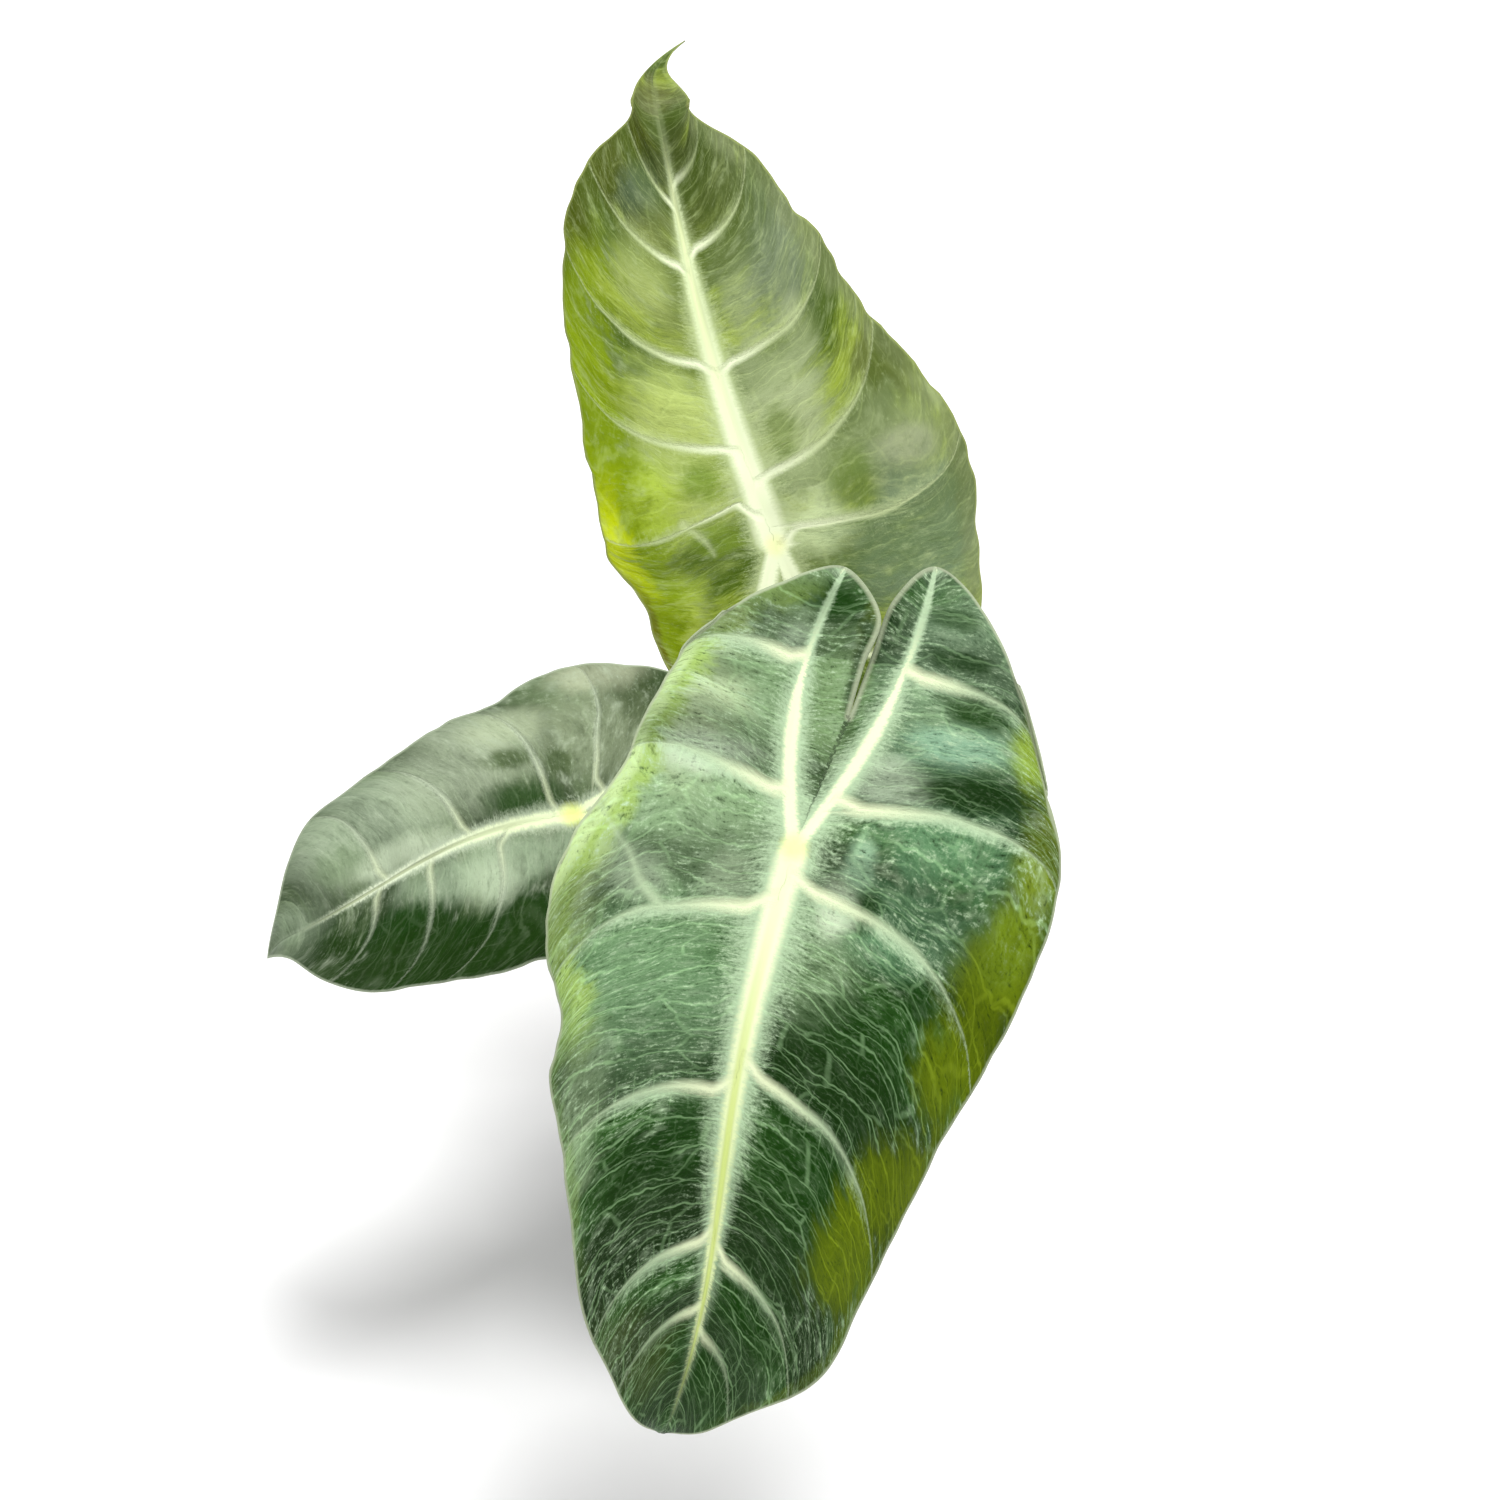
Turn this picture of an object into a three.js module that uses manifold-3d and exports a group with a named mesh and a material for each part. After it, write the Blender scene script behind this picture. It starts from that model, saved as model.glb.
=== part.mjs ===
// A potted pink-stemmed alocasia: three arrow-shaped leaves on pink stalks, in a plain nursery pot.
// Millimetres, +Z up. The origin is the middle of the pot's underside, and the front leaf hangs toward -Y.
import * as THREE from "three";
import { mergeVertices } from "three/addons/utils/BufferGeometryUtils.js";
import Module from "manifold-3d";

const wasm = await Module();
wasm.setup();

// Driving dimensions
const GAP = 0.3;
const POT = {
  height: 90,
  baseRadius: 36,
  topRadius: 48,
  wall: 1.4,
  floor: 1.8,
  bevel: 1.5,
  bandBottom: 80,
  bandRadius: 49.6,
  rimRadius: 50.6,
  holes: 6,
  holeRadius: 4,
  holeRing: 23,
  sides: 52,
};
const SOIL = { top: 79, relief: 1.1, rings: 7, sides: 44 };
const CORM = { bottom: 54, top: 79, radius: 10.5, rings: 10, sides: 20 };
const BLADE = { thickness: 1, veinBow: 0.27, veinReach: 0.85, lateralRib: 0.8, cutAbove: 10, cutReach: 28 };
const STALK = { sides: 14, rings: 30 };

// Where the stations stand between two side veins, and the columns from the midrib to the margin
const STATIONS = [0, 0.12, 0.35, 0.65, 0.88];
const OUTER_COLUMNS = [0, 0.035, 0.1, 0.22, 0.38, 0.55, 0.72, 0.87, 1];
const INNER_COLUMNS = [0, 0.1, 0.4, 0.7, 1];

// Each leaf: the navel is where its stalk joins, and the plan is flat, [along the midrib, across it].
// A half's margin runs from the bottom of the notch round its lobe to the tip. Roots are where the side
// veins leave the midrib, as a share of its length, or of the lobe's vein below 0, and ends are where
// they reach the margin, as places along the margin's points.
const LEAVES = {
  front: {
    navel: [16, -75, 207],
    aim: [-19, -134, 53],
    facing: [0.05, -0.8, 0.6],
    length: 176,
    arch: 14,
    lobeDrop: 10,
    fold: 0.22,
    cup: 3.2,
    bow: 0,
    sway: -2.4,
    quilt: 2,
    wave: 1.6,
    curl: { start: 160, back: -14, aside: 0 },
    midrib: { height: 2.2, halfWidth: 4 },
    notch: -0.5,
    roots: [-1, -0.6, -0.14, 0.07, 0.32, 0.59, 0.78, 0.93, 1],
    left: {
      margin: [[-33, 7], [-47, 8], [-59, 9.5], [-68, -1], [-64, -13], [-55, -26], [-43, -36],
        [-28, -42], [-9, -47], [8, -55], [25, -57], [39, -54], [52, -48], [67, -48], [86, -41],
        [105, -35], [131, -27], [154, -14], [168, -3], [176, 0]],
      lobeTip: 3,
      lobeBow: -8,
      ends: [3, 5.6, 7.9, 11.3, 13.9, 15.9, 17.2, 18, 19],
      wavePhase: 1,
      lift: 3,
    },
    right: {
      margin: [[-33, 7], [-49, 9.8], [-63, 12.5], [-73, 21], [-65, 35], [-46, 49], [-24, 60], [-9, 67],
        [7, 67], [26, 63], [44, 58], [63, 52], [85, 47], [107, 42], [132, 37], [147, 27], [159, 13],
        [168, 3], [176, 0]],
      lobeTip: 3,
      lobeBow: 4,
      ends: [3, 5.1, 7.8, 10.6, 12.9, 15.3, 16.4, 17, 18],
      wavePhase: 0,
      lift: -3,
    },
    stalk: {
      base: [[1, -4, 72], [2, -8, 96], [4, -16, 135], [9, -32, 172]],
      joint: [[-8, -22], [-2, -11], [0, -5]],
      radii: [7, 5.6, 4.4, 3.4, 2.9],
    },
  },
  upper: {
    navel: [13, 82, 204.5],
    aim: [-26.5, 186, 321.5],
    facing: [0, -0.6, 0.8],
    length: 169,
    arch: 10,
    lobeDrop: 10,
    fold: 0.22,
    cup: 3,
    bow: 6,
    sway: 0.5,
    quilt: 1.8,
    wave: 1.5,
    curl: { start: 154, back: -3, aside: -13 },
    midrib: { height: 2.2, halfWidth: 4 },
    notch: -0.5,
    roots: [-1, -0.5, 0.04, 0.145, 0.34, 0.54, 0.7, 0.87, 1],
    left: {
      margin: [[-34, 1], [-55, -1], [-68, -14], [-66, -34], [-54, -51], [-33, -59], [-7, -64],
        [15, -66], [34, -60], [53, -50], [70, -42], [88, -37], [103, -29], [123, -22], [140, -8],
        [147, -8], [159, -3], [169, 0]],
      lobeTip: 2,
      lobeBow: -2,
      ends: [2, 4.5, 7.3, 9.2, 11.2, 12.6, 13.4, 14.5, 17],
      wavePhase: 0,
      lift: 2,
    },
    right: {
      margin: [[-34, 1], [-50, 9], [-57, 26], [-48, 37], [-30, 42], [-8, 45], [9, 52], [25, 51],
        [40, 51], [58, 49], [78, 48], [102, 43], [120, 36], [135, 24], [143, 12], [151, 9], [160, 4],
        [169, 0]],
      lobeTip: 2,
      lobeBow: 2,
      ends: [2, 4.2, 6.2, 8.9, 11.1, 12.2, 13, 14.5, 17],
      wavePhase: 1,
      lift: 2,
    },
    stalk: {
      base: [[0, 4, 72], [1, 9, 100], [8, 40, 138]],
      joint: [[-33, -16], [-14, -12], [-3, -6]],
      radii: [6.5, 5.2, 4.2, 3.3, 2.8],
    },
  },
  left: {
    navel: [-46, -6, 165.5],
    aim: [-134, -28, 134],
    facing: [-0.1, -0.62, 0.78],
    length: 98,
    arch: 14,
    lobeDrop: 0,
    fold: 0,
    cup: 4,
    bow: 0,
    sway: -2,
    quilt: 1.4,
    wave: 1,
    curl: { start: 88, back: -3, aside: 2 },
    midrib: { height: 1.8, halfWidth: 3 },
    notch: -0.5,
    roots: [-1, -0.28, 0.1, 0.35, 0.61, 0.86, 1],
    left: {
      margin: [[-21, 0], [-34, -5], [-46, -14], [-47, -27], [-41, -39], [-23, -48], [-6, -49],
        [11, -42], [24, -40], [37, -36], [54, -32], [70, -28], [81, -18], [90, -7], [98, 0]],
      lobeTip: 2,
      lobeBow: -2,
      ends: [2, 5.2, 7.2, 9.8, 11.6, 13, 14],
      wavePhase: 0,
      lift: 1,
    },
    right: {
      margin: [[-21, 0], [-34, 6], [-42, 17], [-34, 30], [-16, 36], [7, 38], [22, 37], [37, 36],
        [54, 32], [70, 27], [82, 18], [90, 7], [98, 0]],
      lobeTip: 2,
      lobeBow: 2,
      ends: [2, 4.2, 6.6, 8.2, 9.4, 11, 12],
      wavePhase: 1,
      lift: 1,
    },
    stalk: {
      base: [[-4, 0, 72], [-7, 1, 96], [-20, 5, 130]],
      joint: [[-6, -20], [-1, -9]],
      radii: [6.5, 5, 3.8, 2.9, 2.4],
    },
  },
};

const COLOURS = {
  pot: 0x232423,
  soil: 0x3a2a20,
  corm: 0x6b4a33,
  stalk: 0xd98a92,
  front: 0x6f8f78,
  upper: 0x9aa85f,
  left: 0x6a7b69,
};

function smooth(x, low, high) {
  return THREE.MathUtils.smoothstep(x, low, high);
}

function solidOf(geometry) {
  const bare = geometry.clone();
  bare.deleteAttribute("normal");
  bare.deleteAttribute("uv");
  const merged = mergeVertices(bare, 1e-4);
  return new wasm.Manifold(new wasm.Mesh({
    numProp: 3,
    vertProperties: new Float32Array(merged.attributes.position.array),
    triVerts: new Uint32Array(merged.index.array),
  }));
}

function geometryOf(solid) {
  const mesh = solid.getMesh();
  const geometry = new THREE.BufferGeometry();
  geometry.setAttribute("position", new THREE.BufferAttribute(mesh.vertProperties, 3));
  geometry.setIndex(new THREE.BufferAttribute(mesh.triVerts, 1));
  return geometry;
}

function turned(profile, sides) {
  const points = profile.map(([radius, z]) => new THREE.Vector2(radius, z));
  return new THREE.LatheGeometry(points, sides).rotateX(Math.PI / 2);
}

// The leaf's own axes: along the midrib, facing, and across
function leafAxes(leaf) {
  const navel = new THREE.Vector3(...leaf.navel);
  const along = new THREE.Vector3(...leaf.aim).sub(navel).normalize();
  const facing = new THREE.Vector3(...leaf.facing);
  facing.addScaledVector(along, -facing.dot(along)).normalize();
  const across = new THREE.Vector3().crossVectors(facing, along);
  return { navel, along, facing, across };
}

// A place on the midrib, or on the half's lobe vein where share is below 0
function axisPoint(leaf, half, share) {
  if (share >= 0) {
    const sideways = leaf.bow * Math.sin(Math.PI * share) + leaf.sway * Math.sin(2 * Math.PI * share);
    return new THREE.Vector2(share * leaf.length, sideways);
  }
  const tip = new THREE.Vector2(...half.margin[half.lobeTip]);
  const middle = tip.clone().multiplyScalar(0.5).add(new THREE.Vector2(0, half.lobeBow));
  return new THREE.QuadraticBezierCurve(new THREE.Vector2(), middle, tip).getPoint(-share);
}

function marginPoint(half, place) {
  const curve = new THREE.SplineCurve(half.margin.map((point) => new THREE.Vector2(...point)));
  return curve.getPoint(place / (half.margin.length - 1));
}

function between(list, place) {
  const index = Math.min(Math.floor(place), list.length - 2);
  return THREE.MathUtils.lerp(list[index], list[index + 1], place - index);
}

function stationAt(roots, share) {
  const index = roots.findIndex((root, i) => i > 0 && share <= root) - 1;
  return index + (share - roots[index]) / (roots[index + 1] - roots[index]);
}

// The stations from the lobe's tip to the leaf's, with whole numbers at the side veins
function stationsOf(leaf) {
  const fixed = [stationAt(leaf.roots, leaf.notch), stationAt(leaf.roots, 0)];
  const last = leaf.roots.length - 1;
  const stations = [...fixed, last];
  for (let vein = 0; vein < last; vein += 1) {
    for (const step of STATIONS) {
      if (step === 0 || fixed.every((other) => Math.abs(vein + step - other) > 0.1)) {
        stations.push(vein + step);
      }
    }
  }
  return [...new Set(stations)].sort((a, b) => a - b);
}

// How far the blade stands off its plan: arched along, folded at the midrib and cupped toward the margins
function heightAt(leaf, plan) {
  const u = plan.x / leaf.length;
  const arch = u > 0 ? 4 * leaf.arch * u * (1 - u) : 4 * leaf.arch * u - leaf.lobeDrop * u * u;
  const fold = leaf.fold * (Math.hypot(plan.y, 3) - 3);
  return arch + fold - leaf.cup * plan.y ** 2 / 1000;
}

// The swelling between side veins and the waves at the margin, which fade out at both tips
function reliefAt(leaf, half, station, share, column) {
  const ends = Math.min(1, (1 - Math.abs(share)) * 4);
  const swelling = leaf.quilt * Math.sin(Math.PI * station) ** 2 * Math.sin(Math.PI * column ** 0.8);
  const waves = leaf.wave * column ** 3 * Math.sin(Math.PI * (station + 2 * half.wavePhase));
  return ends * (swelling + waves);
}

// One point of the blade: from the midrib or lobe vein to the margin, or to the notch on the inner side
function bladePoint(leaf, axes, half, station, column, inner) {
  const share = between(leaf.roots, station);
  const start = axisPoint(leaf, half, share);
  let end;
  let middle;
  let height;
  if (inner) {
    end = share >= leaf.notch
      ? new THREE.Vector2(...half.margin[0]).multiplyScalar(share / leaf.notch)
      : marginPoint(half, (half.lobeTip * (leaf.notch - share)) / (leaf.notch + 1));
    middle = start.clone().lerp(end, 0.5);
    height = half.lift * column ** 2 * smooth(-share, -leaf.notch, 0.75) * smooth(1 + share, 0, 0.25);
  } else {
    end = marginPoint(half, between(half.ends, station));
    middle = new THREE.Vector2(
      (start.x + end.x) / 2 - BLADE.veinBow * start.distanceTo(end),
      THREE.MathUtils.lerp(start.y, end.y, BLADE.veinReach),
    );
    height = reliefAt(leaf, half, station, share, column);
  }
  const plan = new THREE.QuadraticBezierCurve(start, middle, end).getPoint(column);
  const over = Math.max(0, plan.x - leaf.curl.start) / (leaf.length - leaf.curl.start);
  return axes.navel.clone()
    .addScaledVector(axes.along, plan.x)
    .addScaledVector(axes.across, plan.y + leaf.curl.aside * over ** 2)
    .addScaledVector(axes.facing, heightAt(leaf, plan) + height + leaf.curl.back * over ** 2);
}

// The depth of the ribs under the blade: the midrib and lobe veins, and a low one along each side vein
function ribAt(leaf, station, column, start, plan) {
  const share = between(leaf.roots, station);
  const strength = (1 - 0.8 * Math.abs(share)) * smooth(1 - Math.abs(share), 0, 0.08);
  const offset = plan.distanceTo(start) / leaf.midrib.halfWidth;
  const main = leaf.midrib.height * strength * Math.max(0, 1 - offset ** 2);
  const toVein = Math.abs(station - Math.round(station)) / STATIONS[1];
  const side = BLADE.lateralRib * (1 - column) * Math.max(0, 1 - toVein) * strength;
  return Math.max(main, side);
}

// The blade's middle surface as shared points and triangles
function bladeSurface(leaf) {
  const axes = leafAxes(leaf);
  const points = [];
  const ribs = [];
  const found = new Map();
  const triangles = [];

  function pointIndex(half, station, column, inner) {
    const point = bladePoint(leaf, axes, half, station, column, inner);
    const key = point.toArray().map((value) => Math.round(value * 1000)).join();
    if (!found.has(key)) {
      const start = bladePoint(leaf, axes, half, station, 0, inner);
      found.set(key, points.length);
      points.push(point);
      ribs.push(ribAt(leaf, station, column, start, point));
    }
    return found.get(key);
  }

  function addTriangle(a, b, c) {
    if (a !== b && b !== c && c !== a) {
      triangles.push([a, b, c]);
    }
  }

  const stations = stationsOf(leaf);
  for (const half of [leaf.left, leaf.right]) {
    for (const inner of [false, true]) {
      const across = inner ? INNER_COLUMNS : OUTER_COLUMNS;
      const rows = inner ? stations.filter((station) => between(leaf.roots, station) < 1e-6) : stations;
      for (let row = 1; row < rows.length; row += 1) {
        for (let column = 1; column < across.length; column += 1) {
          const a = pointIndex(half, rows[row - 1], across[column - 1], inner);
          const b = pointIndex(half, rows[row - 1], across[column], inner);
          const c = pointIndex(half, rows[row], across[column], inner);
          const d = pointIndex(half, rows[row], across[column - 1], inner);
          if ((half === leaf.left) !== inner) {
            addTriangle(a, b, c);
            addTriangle(a, c, d);
          } else {
            addTriangle(a, c, b);
            addTriangle(a, d, c);
          }
        }
      }
    }
  }
  return { points, ribs, triangles };
}

function pointNormals(points, triangles) {
  const normals = points.map(() => new THREE.Vector3());
  for (const [a, b, c] of triangles) {
    const normal = new THREE.Vector3().subVectors(points[b], points[a])
      .cross(new THREE.Vector3().subVectors(points[c], points[a]));
    normals[a].add(normal);
    normals[b].add(normal);
    normals[c].add(normal);
  }
  return normals.map((normal) => normal.normalize());
}

// A closed shell: the surface raised by above and lowered by below and its ribs, with a rim round the edge
function shellOf(surface, triangles, above, below) {
  const normals = pointNormals(surface.points, surface.triangles);
  const count = surface.points.length;
  const positions = [];
  for (const [sign, distance] of [[1, above], [-1, below]]) {
    surface.points.forEach((point, i) => {
      const depth = sign > 0 ? distance : distance + surface.ribs[i];
      positions.push(...point.clone().addScaledVector(normals[i], sign * depth).toArray());
    });
  }
  const edges = new Set(triangles.flatMap(([a, b, c]) => [`${a} ${b}`, `${b} ${c}`, `${c} ${a}`]));
  const index = [];
  for (const [a, b, c] of triangles) {
    index.push(a, b, c, count + a, count + c, count + b);
    for (const [i, j] of [[a, b], [b, c], [c, a]]) {
      if (!edges.has(`${j} ${i}`)) {
        index.push(j, i, count + i, j, count + i, count + j);
      }
    }
  }
  const geometry = new THREE.BufferGeometry();
  geometry.setAttribute("position", new THREE.Float32BufferAttribute(positions, 3));
  geometry.setIndex(index);
  return mergeVertices(geometry, 1e-4);
}

function bladeGeometry(surface) {
  return shellOf(surface, surface.triangles, BLADE.thickness / 2, BLADE.thickness / 2);
}

// What the stalk's end is cut by: the part of the blade round its navel, a gap lower and much thicker
function navelCutter(leaf, surface) {
  const { navel } = leafAxes(leaf);
  const near = surface.triangles.filter((corners) => corners.every((i) => (
    surface.points[i].distanceTo(navel) < BLADE.cutReach)));
  return solidOf(shellOf(surface, near, BLADE.cutAbove, BLADE.thickness / 2 + GAP));
}

// A round stalk along its curve, closed at both ends, grown by extra all over
function stalkSolid(leaf, extra) {
  const axes = leafAxes(leaf);
  const route = leaf.stalk.base.map((point) => new THREE.Vector3(...point));
  for (const [along, out] of [...leaf.stalk.joint, [0, 0], [0, 4]]) {
    route.push(axes.navel.clone().addScaledVector(axes.along, along).addScaledVector(axes.facing, out));
  }
  const curve = new THREE.CatmullRomCurve3(route, false, "centripetal");
  const frames = curve.computeFrenetFrames(STALK.rings);
  const positions = [];
  const index = [];
  for (let ring = 0; ring <= STALK.rings; ring += 1) {
    const centre = curve.getPointAt(ring / STALK.rings);
    const radius = between(leaf.stalk.radii, (ring / STALK.rings) * (leaf.stalk.radii.length - 1)) + extra;
    for (let side = 0; side < STALK.sides; side += 1) {
      const angle = (2 * Math.PI * side) / STALK.sides;
      const point = centre.clone()
        .addScaledVector(frames.normals[ring], radius * Math.cos(angle))
        .addScaledVector(frames.binormals[ring], radius * Math.sin(angle));
      positions.push(...point.toArray());
      if (ring > 0) {
        const a = (ring - 1) * STALK.sides + side;
        const b = (ring - 1) * STALK.sides + ((side + 1) % STALK.sides);
        index.push(a, b, b + STALK.sides, a, b + STALK.sides, a + STALK.sides);
      }
    }
  }
  const lastRing = STALK.rings * STALK.sides;
  for (let side = 1; side < STALK.sides - 1; side += 1) {
    index.push(0, side + 1, side);
    index.push(lastRing, lastRing + side, lastRing + side + 1);
  }
  const geometry = new THREE.BufferGeometry();
  geometry.setAttribute("position", new THREE.Float32BufferAttribute(positions, 3));
  geometry.setIndex(index);
  return solidOf(geometry);
}

function potRadius(z) {
  return THREE.MathUtils.lerp(POT.baseRadius, POT.topRadius, z / POT.height);
}

function potGeometry() {
  const shell = turned([
    [0, 0],
    [POT.baseRadius - POT.bevel, 0],
    [POT.baseRadius, POT.bevel],
    [potRadius(POT.bandBottom), POT.bandBottom],
    [POT.bandRadius, POT.bandBottom + POT.bevel / 2],
    [POT.rimRadius, POT.height - POT.bevel / 2],
    [POT.rimRadius - POT.bevel / 2, POT.height],
    [POT.rimRadius - POT.wall, POT.height],
    [POT.bandRadius - POT.wall, POT.bandBottom + 2 * POT.wall],
    [potRadius(POT.bandBottom) - POT.wall, POT.bandBottom],
    [potRadius(POT.floor) - POT.wall, POT.floor],
    [0, POT.floor],
  ], POT.sides);
  let pot = solidOf(shell);
  for (let hole = 0; hole < POT.holes; hole += 1) {
    const angle = (2 * Math.PI * hole) / POT.holes;
    const cutter = new THREE.CylinderGeometry(POT.holeRadius, POT.holeRadius, 4 * POT.floor, 20)
      .rotateX(Math.PI / 2)
      .translate(POT.holeRing * Math.cos(angle), POT.holeRing * Math.sin(angle), 0);
    pot = pot.subtract(solidOf(cutter));
  }
  return geometryOf(pot);
}

function cormSolid(extra) {
  const profile = [];
  for (let ring = 0; ring <= CORM.rings; ring += 1) {
    const angle = (Math.PI * ring) / CORM.rings - Math.PI / 2;
    const height = (CORM.top - CORM.bottom) / 2;
    const radius = (CORM.radius + extra) * Math.cos(angle) ** 0.8;
    const z = CORM.bottom + height + (height + extra) * Math.sin(angle);
    profile.push([ring % CORM.rings === 0 ? 0 : radius, z]);
  }
  return solidOf(turned(profile, CORM.sides));
}

// The soil fills the pot, with an uneven top, and is cut by what stands in it
function soilGeometry(cutters) {
  const bottom = POT.floor + GAP;
  const rim = potRadius(SOIL.top) - POT.wall - GAP;
  const profile = [[0, bottom], [potRadius(bottom) - POT.wall - GAP, bottom]];
  for (let ring = 0; ring <= SOIL.rings; ring += 1) {
    profile.push([rim * (1 - ring / SOIL.rings), SOIL.top]);
  }
  const geometry = turned(profile, SOIL.sides);
  const position = geometry.attributes.position;
  for (let i = 0; i < position.count; i += 1) {
    if (position.getZ(i) > SOIL.top - 1e-3) {
      const x = position.getX(i);
      const y = position.getY(i);
      const fade = smooth(rim - Math.hypot(x, y), 0, 6);
      const bumps = Math.sin(0.41 * x + 1.3) * Math.cos(0.37 * y) + 0.6 * Math.sin(0.83 * x - 0.71 * y);
      position.setZ(i, SOIL.top + fade * SOIL.relief * bumps);
    }
  }
  return geometryOf(cutters.reduce((soil, cutter) => soil.subtract(cutter), solidOf(geometry)));
}

const plant = new THREE.Group();

function addPiece(name, geometry, colour, roughness) {
  const material = new THREE.MeshStandardMaterial({ color: colour, roughness, metalness: 0 });
  const mesh = new THREE.Mesh(geometry, material);
  mesh.name = name;
  plant.add(mesh);
}

// The stalks' bases clasp one another, the left one outermost, and stand on the corm
const order = ["upper", "front", "left"];
const grown = order.map((name) => stalkSolid(LEAVES[name], GAP));
const grownCorm = cormSolid(GAP);
order.forEach((name, place) => {
  const surface = bladeSurface(LEAVES[name]);
  let stalk = stalkSolid(LEAVES[name], 0).subtract(navelCutter(LEAVES[name], surface)).subtract(grownCorm);
  for (const inside of grown.slice(0, place)) {
    stalk = stalk.subtract(inside);
  }
  addPiece(`leaf_${name}_petiole`, geometryOf(stalk), COLOURS.stalk, 0.45);
  addPiece(`leaf_${name}_blade`, bladeGeometry(surface), COLOURS[name], 0.4);
});
addPiece("corm", geometryOf(cormSolid(0)), COLOURS.corm, 0.8);
addPiece("soil", soilGeometry([grownCorm, ...grown]), COLOURS.soil, 0.95);
addPiece("pot", potGeometry(), COLOURS.pot, 0.5);

export default plant;
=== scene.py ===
"""A young alocasia with pink stalks and silver-veined leaves in its nursery pot."""
import math
import random
from types import SimpleNamespace as Traits

import bpy
import numpy as np
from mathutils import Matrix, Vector, noise
from mathutils.bvhtree import BVHTree


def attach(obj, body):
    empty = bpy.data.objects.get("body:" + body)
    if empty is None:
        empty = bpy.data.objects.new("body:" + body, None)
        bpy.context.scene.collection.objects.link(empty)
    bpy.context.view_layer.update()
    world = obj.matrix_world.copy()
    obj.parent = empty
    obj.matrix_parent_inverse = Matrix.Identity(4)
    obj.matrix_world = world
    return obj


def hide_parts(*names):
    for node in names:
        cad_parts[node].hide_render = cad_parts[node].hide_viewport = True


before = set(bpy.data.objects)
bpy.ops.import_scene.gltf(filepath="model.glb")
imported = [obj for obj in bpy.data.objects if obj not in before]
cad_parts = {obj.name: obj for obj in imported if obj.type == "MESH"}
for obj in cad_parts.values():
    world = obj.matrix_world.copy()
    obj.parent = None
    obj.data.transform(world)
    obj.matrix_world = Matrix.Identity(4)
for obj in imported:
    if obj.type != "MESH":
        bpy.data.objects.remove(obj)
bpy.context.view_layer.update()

MM = 0.001

# The view: where the camera stands, how steeply it looks down, and its lens
CAMERA_PLACE = (5 * MM, -487 * MM, 525 * MM)
CAMERA_DOWN = math.radians(35)
LENS = 50
SENSOR = 36

# The leaves, in millimetres, with the outlines and bends of the solids. A blade's stalk joins it at the
# navel, its tip points to the aim and its face turns to the facing. The arch, fold, cup, bow and sway
# bend it, the quilting and waves are its relief, and the curl is where its tip turns, back and aside.
# A plan point is (along the midrib, across it). Roots are where each half's side veins leave the
# midrib, as a share of its length, or of the lobe's vein below 0, and ends are the places in the
# margin's list where they reach it. A stalk's joint is its last points (along, up) from the navel.
FRONT = Traits(
    navel=(16, -75, 207), aim=(-19, -134, 53), facing=(0.05, -0.8, 0.6), length=176,
    arch=14, lobe_drop=10, fold=0.22, cup=3.2, bow=0, sway=-2.4,
    quilt=3.2, wave=1.6, curl=(160, -14, 0), midrib=(2.2, 4),
    left=Traits(
        margin=[(-33, 7), (-47, 8), (-59, 9.5), (-68, -1), (-64, -13), (-55, -26), (-43, -36),
                (-28, -42), (-9, -47), (8, -55), (25, -57), (39, -54), (52, -48), (67, -48),
                (86, -41), (105, -35), (131, -27), (154, -14), (168, -3), (176, 0)],
        lobe_tip=3, lobe_bow=-12.5, roots=[-1, -0.64, -0.16, 0.09, 0.35, 0.58, 0.7, 0.88, 1],
        ends=[3, 6.1, 7.65, 11.3, 14.05, 16.3, 17, 18, 19],
        wave_phase=1, lift=3, dent=0.35,
    ),
    right=Traits(
        margin=[(-33, 7), (-49, 9.8), (-63, 12.5), (-73, 21), (-65, 35), (-46, 49), (-24, 60),
                (-9, 67), (7, 67), (26, 63), (44, 58), (63, 52), (85, 47), (107, 42), (132, 37),
                (147, 27), (159, 13), (168, 3), (176, 0)],
        lobe_tip=3, lobe_bow=10.5, roots=[-1, -0.62, -0.14, 0.05, 0.32, 0.61, 0.74, 0.9, 1],
        ends=[3, 5.7, 7.55, 10.35, 12.9, 14.8, 15.8, 16.9, 18],
        wave_phase=0, lift=-3, dent=0.25,
    ),
    stalk=Traits(
        base=[(1, -4, 72), (2, -8, 96), (4, -16, 135), (9, -32, 172)],
        joint=[(-8, -22), (-2, -11), (0, -5)],
        radii=[7, 5.6, 4.4, 3.4, 2.9],
    ),
)
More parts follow.
